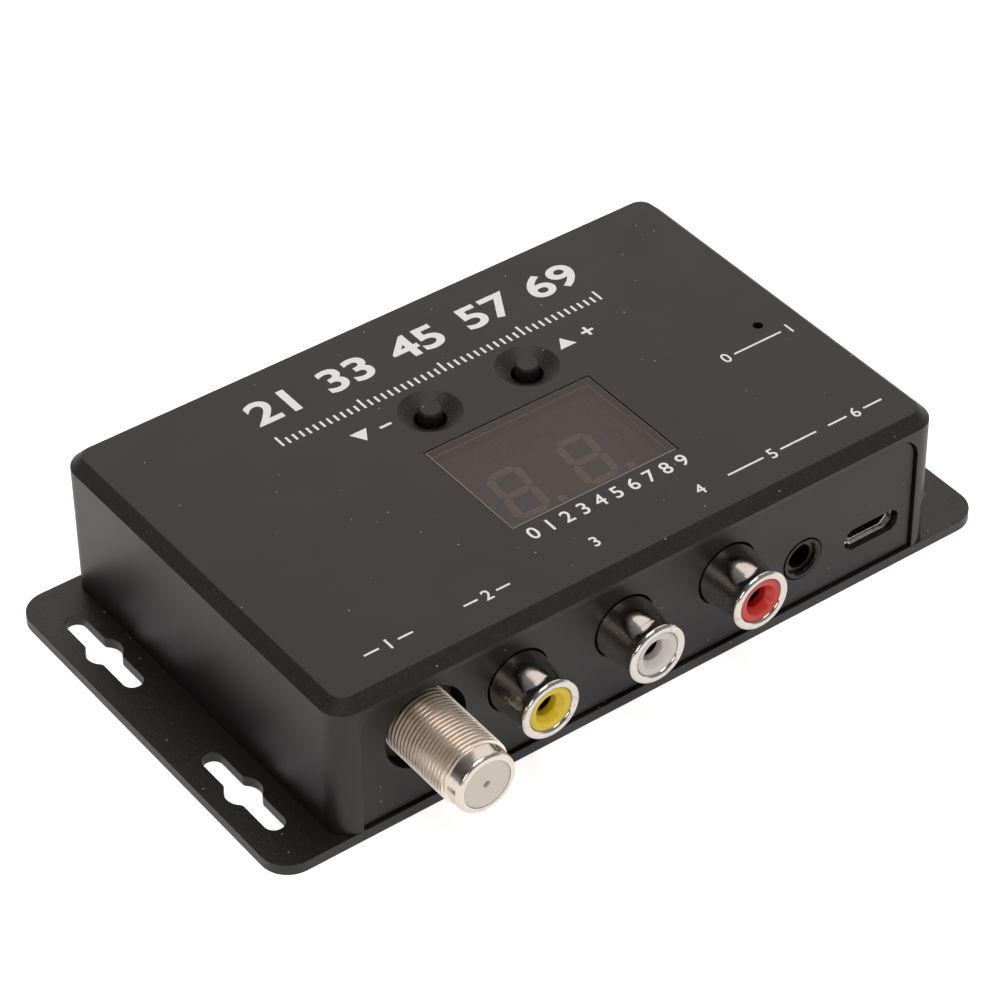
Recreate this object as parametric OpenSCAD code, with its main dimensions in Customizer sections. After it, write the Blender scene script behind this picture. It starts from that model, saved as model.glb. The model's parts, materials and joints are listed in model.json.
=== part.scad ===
// A small set-top RF modulator: a moulded two-part case with mounting ears,
// a row of connectors along its front, a two-digit display and two stem buttons.
// Millimetres. The origin is the centre of the underside, +X runs to the right
// along the connector row, the connectors face -Y, and +Z is up.

/* [Case] */
// Width of the cover, without the ears
case_w = 95; // [92:0.5:110]
// Depth of the cover, front to back
case_d = 61.5; // [60:0.5:75]
// Height of the cover's top face above the underside
case_h = 22.9; // [22:0.1:30]
// Thickness of the cover's side walls
wall_t = 2; // [1.6:0.1:2.2]
// Thickness of the cover's roof
roof_t = 2; // [1.8:0.1:2.2]
// Radius of the cover's upright corners
corner_r = 3.5; // [2.8:0.1:5]
// Width of the sloped rim round the top, seen from above
rim_w = 1.6; // [1:0.1:2.2]
// Height of the sloped rim
rim_h = 1.6; // [0.8:0.1:1.6]

/* [Base plate and ears] */
// Thickness of the base plate
base_t = 1.6; // [1.2:0.1:2]
// How far each mounting ear stands out of the cover's side
ear_w = 8.9; // [8:0.1:14]
// Corner radius of the base plate
base_corner_r = 4; // [2:0.5:5]
// How far the base plate's back edge lies inside the cover's back face
base_back_inset = 0.2; // [0.2:0.1:1]
// Distance of an ear's slots from the cover's side
ear_slot_x = 4.3; // [3.6:0.1:4.8]
// Distance between the two slots of an ear
ear_slot_spacing = 32; // [24:1:36]
// End-to-end length of an ear slot
ear_slot_l = 16.4; // [12:0.2:18]
// Width of an ear slot
ear_slot_w = 2.8; // [2.2:0.1:3.4]
// Diameter of the screw-head bulge at a slot's middle
ear_bulge_d = 4.9; // [4.2:0.1:5.6]
// Fillet between a slot's sides and its bulge
ear_fillet_r = 0.8; // [0.4:0.1:1.2]
// Height of the locating lip that stands inside the cover's walls
lip_h = 1.8; // [1:0.1:2.4]
// Thickness of the locating lip
lip_t = 1.2; // [0.8:0.1:1.4]

/* [Front panel] */
// Width of the connector panel's face
panel_w = 87.4; // [84:0.1:88]
// How far the panel's top edge lies below the cover's top face
panel_drop = 2.5; // [2.4:0.1:4]
// Radius of the panel's two upper corners
panel_corner_r = 3.4; // [1:0.1:5]
// How far the panel's face lies behind the cover's front face
panel_recess = 0.5; // [0.2:0.1:0.8]
// Gap seen all round the panel's face
panel_gap = 0.25; // [0.15:0.05:0.4]
// Thickness of the panel's wider back layer
panel_back_t = 1; // [0.8:0.1:1.2]
// How far the panel's back layer reaches past its face on each side
panel_tongue_w = 1.2; // [0.8:0.1:1.2]

/* [Display] */
// Width of the display window
window_w = 26.1; // [25.5:0.1:30]
// Depth of the display window, front to back
window_d = 18.6; // [18:0.1:22]
// Thickness of the display window
window_t = 1.4; // [1:0.1:1.5]
// Centre of the window, right of the case's middle
window_x = 2.5; // [1.5:0.1:3.5]
// Centre of the window, behind the case's middle
window_y = -7; // [-7.5:0.1:-6]
// Width of the ledge that carries the window
window_ledge = 1; // [0.6:0.1:1.2]
// Height of a digit
digit_h = 9.8; // [8:0.1:10.5]
// Width of a digit
digit_w = 5.4; // [4.5:0.1:6]
// Distance between the two digits
digit_pitch = 11; // [9:0.1:11]
// Stroke width of the digits
stroke_w = 1.15; // [0.8:0.05:1.4]
// Lean of the digits in degrees
digit_lean = 7; // [0:1:10]
// How far the digits' centre lies left of the window's centre
digits_left = 1.2; // [0:0.1:1.5]
// How far the digits' centre lies in front of the window's centre
digits_front = 2; // [0:0.1:2.1]

/* [Buttons] */
// Left button, right of the case's middle
button_left_x = -5; // [-7:0.1:-4]
// Distance between the two buttons
button_pitch = 15.6; // [13:0.1:20]
// Row of the buttons, behind the case's middle
button_y = 8.8; // [8:0.1:12]
// Diameter of a button well at the top face
well_d = 8.7; // [7.5:0.1:10]
// Depth of a button well's sloped part
well_depth = 1.25; // [0.8:0.05:1.4]
// Diameter of the hole in the floor of a button well
well_hole_d = 4.3; // [4:0.1:5]
// Diameter of a button's stem
stem_d = 3.3; // [2.8:0.1:3.4]
// How far a stem stands above the top face
stem_proud = 0.5; // [0.3:0.1:1.5]
// How far a button travels
button_travel = 0.3; // [0.2:0.05:0.5]

/* [Connectors] */
// Coaxial connector, left of the case's middle
coax_x = 34.1; // [32:0.1:35]
// Outer diameter of the coaxial connector's thread
coax_d = 9.525; // [9:0.025:10]
// How far the coaxial connector stands out of the cover's front face
coax_reach = 12; // [9:0.5:15]
// Height of the coaxial and phono axes above the circuit board
jack_axis_h = 6.7; // [6.2:0.1:7]
// Middle phono jack, left of the case's middle
phono_mid_x = 3.7; // [2:0.1:5]
// Distance between the phono jacks
phono_pitch = 16.5; // [14:0.1:16.5]
// Rim diameter of a phono jack
phono_rim_d = 8.6; // [8:0.1:9]
// Diameter of a phono jack's narrow neck
phono_neck_d = 7.8; // [7.4:0.1:8]
// Diameter of a phono jack's barrel at the panel
phono_root_d = 8.9; // [8.2:0.1:9]
// How far the phono jacks stand out of the cover's front face
phono_reach = 6.5; // [5:0.5:10]
// Bore of the phono jacks' centre contact
phono_bore_d = 3.2; // [3:0.1:3.6]
// Sensor socket, right of the case's middle
sensor_x = 25.4; // [22:0.1:26]
// Bore of the sensor socket
sensor_bore_d = 3.6; // [3.5:0.05:3.8]
// Nose diameter of the sensor socket
sensor_nose_d = 6; // [5.4:0.1:6.4]
// Height of the sensor socket's axis above the circuit board
sensor_axis_h = 2.5; // [2.5:0.1:4]
// Power socket, right of the case's middle
power_x = 37.1; // [35.5:0.1:38]
// Width of the power socket's metal shell
power_w = 7.5; // [7:0.1:8]
// Height of the power socket's metal shell
power_h = 2.6; // [2.4:0.1:3]
// Clearance round the power socket's shell in the panel
power_slot_gap = 0.8; // [0.2:0.1:1]
// Indicator hole, right of the case's middle
lamp_x = 40.1; // [38:0.1:41]
// Indicator hole, behind the case's middle
lamp_y = -2.7; // [-6:0.1:2]
// Diameter of the indicator hole
lamp_d = 1.4; // [1.2:0.1:2]

/* [Circuit board] */
// Thickness of the circuit board
board_t = 1.6; // [1:0.1:1.6]
// Height of the circuit board's underside above the base plate
board_lift = 3.1; // [3:0.1:4]
// Case screws, right and left of the middle
screw_x = 40; // [39.5:0.1:40]
// Front pair of case screws, in front of the middle
screw_front_y = 15.6; // [14:0.1:16]
// Back pair of case screws, behind the middle
screw_back_y = 22; // [18:0.5:23]
// Diameter of a case screw's shank
screw_d = 2.5; // [2:0.1:2.6]

/* [Hidden] */

// Facets of large and small round shapes
$fn = 64;
// One overrun for all cuts
over = 0.5;
// Clearance between pieces that slide together at assembly
fit = 0.1;
// Clearance round pieces that are pressed or glued in
snug = 0.03;
// Running clearance of a button's stem in its switch
run_fit = 0.05;

// Heights of the board, the connector row and the panel
board_z = base_t + board_lift;
board_top = board_z + board_t;
jack_z = board_top + jack_axis_h;
panel_foot_z = base_t + panel_gap;
panel_top_z = case_h - panel_drop;
ceiling_z = case_h - roof_t;

// Walls of the case
front_y = -case_d / 2;
side_x = case_w / 2;
inner_w = case_w - 2 * wall_t;
inner_d = case_d - 2 * wall_t;
inner_r = 0.8;

// Base plate
base_w = case_w + 2 * ear_w;
base_d = case_d - base_back_inset;
lip_w = inner_w - 2 * fit;
lip_back_y = inner_d / 2 - fit;

// Front panel
panel_y = front_y + panel_recess;
panel_face_t = wall_t - panel_recess + fit;
panel_total_t = panel_face_t + panel_back_t;
panel_back_y = panel_y + panel_total_t;
panel_tongue_top_z = panel_top_z - fit;
rib_reach = 2;
rib_t = 1.6;

// Circuit board
board_edge = 0.3;
board_w = inner_w - 2 * (rib_reach + board_edge);
board_front_y = panel_back_y + board_edge;
board_back_y = inner_d / 2 - 2 * board_edge;
board_d = board_back_y - board_front_y;
screw_places = [
    [-screw_x, -screw_front_y], [screw_x, -screw_front_y],
    [-screw_x, screw_back_y], [screw_x, screw_back_y]
];

// Screws, their bosses in the cover and the pillars on the base plate
boss_d = 5.8;
pillar_d = 6;
screw_gap = 0.15;
pilot_gap = 0.05;
screw_head_d = 4.4;
screw_head_h = 1.1;
screw_bite = 9;
recess_gap = 0.15;
socket_d = 1.8;
socket_depth = 0.6;

// Button wells
button_x = [button_left_x, button_left_x + button_pitch];
well_skirt_t = 1.1;
well_skirt_h = 0.7;
stem_edge = 0.25;

// Switches under the buttons
switch_w = 6.2;
switch_base_h = 3.1;
switch_cap_t = 0.3;
switch_floor_t = 0.8;
switch_well_d = 5;
plunger_d = 4.4;
dome_d = 4.2;
dome_rise = 0.5;
dome_t = 0.1;
switch_cap_z = board_top + switch_base_h;
plunger_top_z = switch_cap_z - run_fit;
dome_z = board_top + switch_floor_t;
plunger_foot_z = dome_z + dome_rise + button_travel + run_fit;
stem_top_z = case_h + stem_proud;

// Display stack
window_top_z = case_h - snug;
window_bottom_z = window_top_z - window_t;
window_gap = 0.15;
digits_x = window_x - digits_left;
digits_y = window_y - digits_front;
display_side = 1.6;
display_rim = 1.3;
display_w = digit_pitch + digit_w + 2 * display_side + digit_h * tan(digit_lean);
display_d = digit_h + 2 * display_rim;
display_gap = 0.15;
display_h = 7;
display_top_z = ceiling_z - display_gap;
display_z = display_top_z - display_h;
segment_t = 0.8;
segment_gap = 0.12;
point_d = 1.3;
riser_wall = 1.4;
pin_rows = [-1, 1];
pins_per_row = 5;
pin_step = 2.54;
pin_d = 0.5;
pin_tail = 1.2;
pin_hole_gap = 0.15;
pin_row_y = display_d / 2 - riser_wall - pin_step / 2;

// Axes of the low sockets
sensor_z = board_top + sensor_axis_h;
power_z = board_top + power_h / 2 + snug;
hole_gap = 0.2;

// Coaxial connector
coax_hole_d = 12;
coax_nose_d = 8.7;
coax_nose_l = 2.4;
coax_face_d = 7.9;
coax_bevel = 0.7;
coax_bore_d = 6.9;
coax_pin_bore_d = 1;
coax_contact_d = 1.8;
coax_contact_l = 9;
coax_contact_depth = 1.2;
coax_block_w = 11.6;
coax_block_l = 7.6;
coax_block_top = 5.4;
coax_block_gap = 0.2;

// Phono jacks
phono_x = [-phono_mid_x - phono_pitch, -phono_mid_x, -phono_mid_x + phono_pitch];
phono_hole_gap = 0.2;
phono_inner_d = 6.3;
phono_lip_r = (phono_rim_d - phono_inner_d) / 4;
phono_neck_l = 1.5;
phono_flange_d = 10;
phono_flange_t = 0.8;
phono_funnel_d = 5.8;
phono_funnel_l = 1.5;
phono_face_set = 0.35;
phono_guide_l = 0.6;
phono_contact_t = 0.45;
phono_block_w = 10;
phono_block_l = 10.2;
phono_block_top = 5;
phono_wall_t = 1.2;

// Sensor socket
sensor_block_w = 6.6;
sensor_block_l = 12;
sensor_block_top = 2.6;
sensor_proud = 0.1;
sensor_eyelet_d = 4.6;
sensor_eyelet_l = 2.6;
sensor_eyelet_set = 0.7;
sensor_mouth_bevel = 0.3;
sensor_back_t = 1.2;

// Power socket
power_l = 5.6;
power_set = 1.3;
power_shell_t = 0.3;
power_bevel = 0.9;
power_slot_r = 1.6;
power_tongue_w = 4;
power_tongue_t = 0.6;
power_tongue_set = 0.6;
power_tongue_drop = 0.25;
power_contact_w = 0.35;
power_contact_t = 0.1;
power_contact_step = 0.65;
power_contacts = 5;
power_back_t = 1.2;

// Indicator
lamp_collar_d = 4;
lamp_collar_h = 3;
lamp_pipe_gap = 0.06;
lamp_pipe_d = 2.2;
lamp_pipe_set = 1;
lamp_chip_w = 1.6;
lamp_chip_d = 0.8;
lamp_chip_h = 0.6;
lamp_chip_gap = 0.3;

// Parts on the board
shield_w = 25;
shield_d = 23;
shield_h = 5;
shield_t = 0.3;
shield_x = -25.5;
shield_y = 0;
shield_lid_t = 0.25;
shield_lid_skirt = 2;
shield_vent_d = 2;
shield_vent_step = 5;
chip_w = 10;
chip_d = 10;
chip_h = 1.4;
chip_x = 25;
chip_y = -2;
lead_w = 0.3;
lead_l = 1;
lead_t = 0.2;
lead_step = 0.8;
leads_per_side = 11;
crystal_l = 11;
crystal_w = 4.6;
crystal_h = 3.5;
crystal_x = 27;
crystal_y = 9;
capacitor_d = 6.3;
capacitor_h = 7.5;
capacitor_groove = 0.35;
capacitor_groove_h = 0.8;
capacitor_groove_z = 1.3;
capacitor_places = [[20, 19], [28, 19], [-20, 21]];
regulator_w = 6.5;
regulator_d = 6.1;
regulator_h = 2.3;
regulator_tab_share = 0.25;
regulator_x = 33;
regulator_y = -18;
inductor_d = 7;
inductor_core_d = 5;
inductor_h = 4.2;
inductor_flange_t = 0.8;
inductor_x = 10;
inductor_y = 20;
part_l = 2;
part_w = 1.25;
part_h = 0.6;
part_step = 3;
parts_per_row = 5;
part_rows = [[-8, 22.5], [-8, 18.5], [15, -12]];

// Colours as they look in daylight
case_black = [0.17, 0.165, 0.16];
panel_black = [0.15, 0.145, 0.14];
smoke = [0.12, 0.11, 0.1, 0.75];
nickel = [0.78, 0.74, 0.69];
chrome = [0.85, 0.85, 0.86];
brass = [0.78, 0.63, 0.3];
board_green = [0.08, 0.33, 0.2];
tin = [0.72, 0.73, 0.74];
chip_black = [0.08, 0.08, 0.08];
plug_yellow = [0.86, 0.76, 0.12];
plug_white = [0.93, 0.93, 0.91];
plug_red = [0.75, 0.08, 0.08];
milk = [0.9, 0.9, 0.86];
steel = [0.6, 0.6, 0.6];
unlit_segment = [0.25, 0.2, 0.17];
clear_plastic = [0.9, 0.9, 0.9, 0.6];
lamp_red = [0.9, 0.3, 0.2];

// Flat shape with four round corners, centred
module rounded_rect(w, d, r) {
    square([w - 2 * r, d], center = true);
    square([w, d - 2 * r], center = true);
    for (sx = [-1, 1], sy = [-1, 1])
        translate([sx * (w / 2 - r), sy * (d / 2 - r)]) circle(r);
}

// Flat shape with two round upper corners, standing on y = 0 and centred in x
module arch_rect(w, h, r) {
    translate([-w / 2, 0]) square([w, h - r]);
    translate([-w / 2 + r, 0]) square([w - 2 * r, h]);
    for (sx = [-1, 1]) translate([sx * (w / 2 - r), h - r]) circle(r);
}

// Upright block with round corners and a sloped rim round its top
module rimmed_block(w, d, z0, z1, r, slope_w, slope_h) {
    shoulder = z1 - slope_h;
    module half_profile(half) {
        polygon([[0, z0], [half, z0], [half, shoulder], [half - slope_w, z1], [0, z1]]);
    }
    module profile(half) {
        half_profile(half);
        mirror([1, 0]) half_profile(half);
    }
    translate([0, d / 2 - r, 0]) rotate([90, 0, 0])
        linear_extrude(d - 2 * r) profile(w / 2);
    translate([-w / 2 + r, 0, 0]) rotate([90, 0, 90])
        linear_extrude(w - 2 * r) profile(d / 2);
    for (sx = [-1, 1], sy = [-1, 1])
        translate([sx * (w / 2 - r), sy * (d / 2 - r), 0]) rotate_extrude() half_profile(r);
}

// Places a shape drawn along +Z so that it faces the front, from the panel's face outwards
module facing_front(x, z) {
    translate([x, panel_y, z]) rotate([90, 0, 0]) children();
}

// Cylinder between two heights
module rod(d, z0, z1) {
    translate([0, 0, z0]) cylinder(d = d, h = z1 - z0);
}

// Cone between two heights
module taper(d0, d1, z0, z1) {
    translate([0, 0, z0]) cylinder(d1 = d0, d2 = d1, h = z1 - z0);
}

// Box centred in x and y, between two heights
module block(w, d, z0, z1) {
    translate([-w / 2, -d / 2, z0]) cube([w, d, z1 - z0]);
}

// Ear slot along Y with a filleted round bulge at its middle
module ear_slot() {
    slot_r = ear_slot_w / 2;
    end_y = ear_slot_l / 2 - slot_r;
    bulge_r = ear_bulge_d / 2;
    fillet_x = slot_r + ear_fillet_r;
    fillet_y = sqrt(pow(bulge_r + ear_fillet_r, 2) - pow(fillet_x, 2));
    square([ear_slot_w, 2 * end_y], center = true);
    for (sy = [-1, 1]) translate([0, sy * end_y]) circle(slot_r);
    circle(bulge_r);
    for (sx = [-1, 1], sy = [-1, 1])
        difference() {
            polygon([[0, 0], [0, sy * fillet_y], [sx * fillet_x, sy * fillet_y]]);
            translate([sx * fillet_x, sy * fillet_y]) circle(ear_fillet_r);
        }
}

module ear_slots() {
    for (sx = [-1, 1], sy = [-1, 1])
        translate([sx * (side_x + ear_slot_x), sy * ear_slot_spacing / 2]) ear_slot();
}

// One stroke of a digit, centred, leaning with the digit that it belongs to
function lean(p) = [p[0] + p[1] * tan(digit_lean), p[1]];
function stroke_points(cx, cy, l, w, flat) = [
    for (s = [[-1, 0], [-1, 1], [1, 1], [1, 0], [1, -1], [-1, -1]])
        let (along = s[0] * (l / 2 - abs(s[1]) * w / 2), across = s[1] * w / 2)
            lean(flat ? [cx + along, cy + across] : [cx + across, cy + along])
];

module digit_outline(grow) {
    half_w = (digit_w - stroke_w) / 2;
    half_h = (digit_h - stroke_w) / 2;
    flat_l = 2 * half_w - segment_gap + 2 * grow;
    tall_l = half_h - segment_gap + 2 * grow;
    w = stroke_w + 2 * grow;
    for (level = [-1, 0, 1])
        polygon(stroke_points(0, level * half_h, flat_l, w, true));
    for (sx = [-1, 1], sy = [-1, 1])
        polygon(stroke_points(sx * half_w, sy * half_h / 2, tall_l, w, false));
    point_x = digit_w / 2 + point_d + digit_h / 2 * tan(digit_lean) / 2;
    translate(lean([point_x, -half_h])) circle(d = point_d + 2 * grow);
}

module digits(grow) {
    for (s = [-1, 1])
        translate([digits_x + s * digit_pitch / 2, digits_y]) digit_outline(grow);
}

// Moulded cover: sloped rim, button wells, window ledge, panel opening, ribs and bosses
module top_cover() {
    color(case_black) difference() {
        union() {
            difference() {
                rimmed_block(case_w, case_d, base_t, case_h, corner_r, rim_w, rim_h);
                translate([0, 0, base_t - over])
                    linear_extrude(ceiling_z - base_t + over) rounded_rect(inner_w, inner_d, inner_r);
            }
            cover_bosses();
            cover_well_skirts();
            cover_panel_ribs();
            translate([lamp_x, lamp_y, 0]) rod(lamp_collar_d, ceiling_z - lamp_collar_h, ceiling_z);
        }
        cover_panel_opening();
        cover_window_cut();
        for (x = button_x) translate([x, button_y, 0]) button_well_cut();
        translate([lamp_x, lamp_y, 0]) {
            rod(lamp_d, ceiling_z, case_h + over);
            rod(lamp_pipe_d + 2 * lamp_pipe_gap, ceiling_z - lamp_collar_h - over, ceiling_z);
        }
        for (p = screw_places)
            translate(p) rod(screw_d + 2 * pilot_gap, board_top - over, board_top + screw_bite);
    }
}

module cover_bosses() {
    for (p = screw_places) translate(p) rod(boss_d, board_top, ceiling_z);
}

module cover_well_skirts() {
    for (x = button_x)
        translate([x, button_y, 0])
            taper(well_hole_d + 2 * well_skirt_t, well_d, ceiling_z - well_skirt_h, ceiling_z);
}

// Upright ribs that hold the panel's tongues against the front wall
module cover_panel_ribs() {
    for (sx = [-1, 1])
        translate([sx * (inner_w - rib_reach) / 2, panel_back_y + rib_t / 2 + fit, 0])
            block(rib_reach, rib_t, panel_foot_z + lip_h, ceiling_z);
}

module cover_panel_opening() {
    translate([0, front_y + wall_t, base_t - over]) rotate([90, 0, 0])
        linear_extrude(wall_t + over)
            arch_rect(panel_w + 2 * panel_gap, panel_top_z + panel_gap - base_t + over,
                panel_corner_r + panel_gap);
}

module cover_window_cut() {
    opening_w = window_w - 2 * window_ledge;
    opening_d = window_d - 2 * window_ledge;
    translate([window_x, window_y, 0]) {
        block(window_w + 2 * window_gap, window_d + 2 * window_gap, window_bottom_z, case_h + over);
        block(opening_w, opening_d, ceiling_z - over, case_h);
    }
}

module button_well_cut() {
    slope = (well_d - well_hole_d) / well_depth;
    taper(well_hole_d, well_d + slope * over, case_h - well_depth, case_h + over);
    rod(well_hole_d, ceiling_z - well_skirt_h - over, case_h);
}

// Base plate with ears, locating lip, board pillars and screw holes
module base_plate() {
    color(case_black) difference() {
        union() {
            translate([0, -base_back_inset / 2, 0]) linear_extrude(base_t)
                rounded_rect(base_w, base_d, base_corner_r);
            base_lip();
            for (p = screw_places) translate(p) rod(pillar_d, base_t, board_z);
        }
        translate([0, 0, -over]) linear_extrude(base_t + 2 * over) ear_slots();
        for (p = screw_places) translate(p) {
            rod(screw_d + 2 * screw_gap, -over, board_z + over);
            rod(screw_head_d + 2 * recess_gap, -over, screw_head_h + recess_gap);
        }
    }
}

// Lip inside the side and back walls, open at the front where the panel stands
module base_lip() {
    lip_front_y = panel_back_y + rib_t + 2 * fit;
    difference() {
        linear_extrude(base_t + lip_h) rounded_rect(lip_w, 2 * lip_back_y, inner_r - fit);
        translate([0, 0, base_t / 2]) linear_extrude(base_t + lip_h)
            rounded_rect(lip_w - 2 * lip_t, 2 * (lip_back_y - lip_t), fit);
        translate([-lip_w / 2 - over, -lip_back_y - over, base_t])
            cube([lip_w + 2 * over, lip_front_y + lip_back_y + over, lip_h + over]);
    }
}

// Connector panel: a face that fills the opening and a wider layer behind it
module front_panel() {
    color(panel_black) difference() {
        union() {
            translate([0, panel_y + panel_face_t, panel_foot_z]) rotate([90, 0, 0])
                linear_extrude(panel_face_t)
                    arch_rect(panel_w, panel_top_z - panel_foot_z, panel_corner_r);
            translate([-panel_w / 2 - panel_tongue_w, panel_y + panel_face_t, panel_foot_z])
                cube([panel_w + 2 * panel_tongue_w, panel_back_t, panel_tongue_top_z - panel_foot_z]);
        }
        facing_front(-coax_x, jack_z) rod(coax_hole_d, -panel_total_t - over, over);
        for (x = phono_x)
            facing_front(x, jack_z)
                rod(phono_root_d + 2 * phono_hole_gap, -panel_total_t - over, over);
        facing_front(sensor_x, sensor_z)
            rod(sensor_nose_d + 2 * hole_gap, -panel_total_t - over, over);
        facing_front(power_x, power_z) translate([0, 0, -panel_total_t - over])
            linear_extrude(panel_total_t + 2 * over)
                rounded_rect(power_w + 2 * power_slot_gap, power_h + power_slot_gap, power_slot_r);
    }
}

// Smoked window that lies on the ledge in the roof
module display_window() {
    color(smoke) translate([window_x, window_y, 0])
        block(window_w, window_d, window_bottom_z + snug, window_top_z);
}

module display_body() {
    color(panel_black) difference() {
        translate([digits_x, digits_y, 0]) block(display_w, display_d, display_z, display_top_z);
        translate([0, 0, display_top_z - segment_t]) linear_extrude(segment_t + over) digits(0);
    }
}

// Light pieces of the two digits, set flush in the display's face
module display_segments() {
    color(unlit_segment) translate([0, 0, display_top_z - segment_t])
        linear_extrude(segment_t) digits(-snug);
}

// Open frame that lifts the display off the board
module display_riser() {
    color(chip_black) translate([digits_x, digits_y, 0]) difference() {
        block(display_w, display_d, board_top, display_z);
        block(display_w - 2 * riser_wall, display_d - 2 * riser_wall,
            board_top - over, display_z + over);
    }
}

module pin_places() {
    for (row = pin_rows, i = [0 : pins_per_row - 1])
        translate([digits_x + (i - (pins_per_row - 1) / 2) * pin_step, digits_y + row * pin_row_y, 0])
            children();
}

module display_pins() {
    color(tin) pin_places() rod(pin_d, board_z - pin_tail, display_z);
}

module circuit_board() {
    color(board_green) difference() {
        translate([0, (board_front_y + board_back_y) / 2, 0]) block(board_w, board_d, board_z, board_top);
        for (p = screw_places)
            translate(p) rod(screw_d + 2 * screw_gap, board_z - over, board_top + over);
        pin_places() rod(pin_d + 2 * pin_hole_gap, board_z - over, board_top + over);
    }
}

// Coaxial connector: barrel, plain nose and the block that stands on the board
module coax_shell() {
    face_u = coax_reach + panel_recess;
    block_u = -panel_total_t - coax_block_gap;
    color(nickel) facing_front(-coax_x, jack_z) difference() {
        union() {
            rod(coax_d, block_u, face_u - coax_nose_l);
            rod(coax_nose_d, face_u - coax_nose_l, face_u - coax_bevel);
            taper(coax_nose_d, coax_face_d, face_u - coax_bevel, face_u);
            translate([-coax_block_w / 2, -jack_axis_h, block_u - coax_block_l])
                cube([coax_block_w, jack_axis_h + coax_block_top, coax_block_l]);
        }
        rod(coax_bore_d, block_u - coax_block_l / 2, face_u + over);
    }
}

module coax_insulator() {
    face_u = coax_reach + panel_recess;
    back_u = -panel_total_t - coax_block_gap - coax_block_l / 2;
    color(milk) facing_front(-coax_x, jack_z) difference() {
        rod(coax_bore_d - 2 * snug, back_u, face_u - snug);
        rod(coax_pin_bore_d, face_u - coax_contact_depth - over, face_u + over);
        rod(coax_contact_d + 2 * snug, back_u - over, face_u - coax_contact_depth);
    }
}

module coax_contact() {
    contact_u = coax_reach + panel_recess - coax_contact_depth - snug;
    color(brass) facing_front(-coax_x, jack_z) difference() {
        rod(coax_contact_d, contact_u - coax_contact_l, contact_u);
        rod(coax_pin_bore_d, contact_u - coax_contact_l + over, contact_u + over);
    }
}

// Metal shell of a phono jack: flange, tapered barrel, narrow neck and rolled rim
module phono_shell(x) {
    face_u = phono_reach + panel_recess;
    lip_u = face_u - phono_lip_r;
    lip_x = phono_rim_d / 2 - phono_lip_r;
    neck_u = lip_u - phono_neck_l;
    flange_u = -panel_total_t - snug;
    flare = (phono_rim_d - phono_neck_d) / 2;
    flare_steps = 8;
    flare_points = [
        for (i = [0 : flare_steps])
            [phono_neck_d / 2 + flare * (1 - cos(90 * i / flare_steps)),
                neck_u + phono_neck_l * sin(90 * i / flare_steps)]
    ];
    color(chrome) facing_front(x, jack_z) rotate_extrude() {
        polygon(concat(
            [[phono_inner_d / 2, flange_u - phono_flange_t], [phono_flange_d / 2, flange_u - phono_flange_t],
                [phono_flange_d / 2, flange_u], [phono_root_d / 2, flange_u], [phono_root_d / 2, 0]],
            flare_points,
            [[phono_inner_d / 2, lip_u]]));
        translate([lip_x, lip_u]) circle(phono_lip_r);
    }
}

// Coloured insulator with a funnel mouth that leads to the centre bore
module phono_insulator(x, tint) {
    face_u = phono_reach + panel_recess - phono_face_set;
    funnel_u = face_u - phono_funnel_l;
    guide_u = funnel_u - phono_guide_l;
    back_u = -panel_total_t - phono_flange_t - snug;
    outer_d = phono_inner_d - 2 * snug;
    color(tint) facing_front(x, jack_z) difference() {
        rod(outer_d, back_u, face_u);
        taper(phono_bore_d, phono_funnel_d, funnel_u, face_u);
        rod(phono_funnel_d, face_u, face_u + over);
        rod(phono_bore_d, guide_u - over, funnel_u + snug);
        rod(phono_bore_d + 2 * (phono_contact_t + snug), back_u - over, guide_u);
    }
}

// Spring contact that goes on behind the insulator's short guide bore
module phono_contact(x) {
    guide_u = phono_reach + panel_recess - phono_face_set - phono_funnel_l - phono_guide_l;
    back_u = -panel_total_t - phono_flange_t - phono_block_l + phono_wall_t;
    color(brass) facing_front(x, jack_z) difference() {
        rod(phono_bore_d + 2 * phono_contact_t, back_u, guide_u - snug);
        rod(phono_bore_d, back_u + phono_wall_t, guide_u + over);
    }
}

module phono_body(x) {
    face_u = -panel_total_t - phono_flange_t - 2 * snug;
    color(chip_black) facing_front(x, jack_z) difference() {
        translate([-phono_block_w / 2, -jack_axis_h, face_u - phono_block_l])
            cube([phono_block_w, jack_axis_h + phono_block_top, phono_block_l]);
        rod(phono_bore_d + 2 * (phono_contact_t + snug), face_u - phono_block_l + phono_wall_t - snug,
            face_u + over);
    }
}

// Moulded socket: a nose in the panel's hole and a block on the board
module sensor_socket_body() {
    block_u = -panel_total_t - fit;
    back_u = block_u - sensor_block_l;
    color(chip_black) facing_front(sensor_x, sensor_z) difference() {
        union() {
            rod(sensor_nose_d, block_u, sensor_proud);
            translate([-sensor_block_w / 2, -sensor_axis_h, back_u])
                cube([sensor_block_w, sensor_axis_h + sensor_block_top, sensor_block_l]);
        }
        rod(sensor_bore_d, back_u + sensor_back_t, over);
        rod(sensor_eyelet_d + 2 * snug, -sensor_eyelet_set - sensor_eyelet_l, sensor_proud + over);
        taper(sensor_eyelet_d + 2 * snug, sensor_eyelet_d + 2 * sensor_mouth_bevel,
            sensor_proud - sensor_mouth_bevel, sensor_proud + snug);
    }
}

module sensor_socket_eyelet() {
    color(chrome) facing_front(sensor_x, sensor_z) difference() {
        rod(sensor_eyelet_d, -sensor_eyelet_set - sensor_eyelet_l + snug, -sensor_eyelet_set);
        rod(sensor_bore_d, -sensor_eyelet_set - sensor_eyelet_l - over, over);
    }
}

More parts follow.
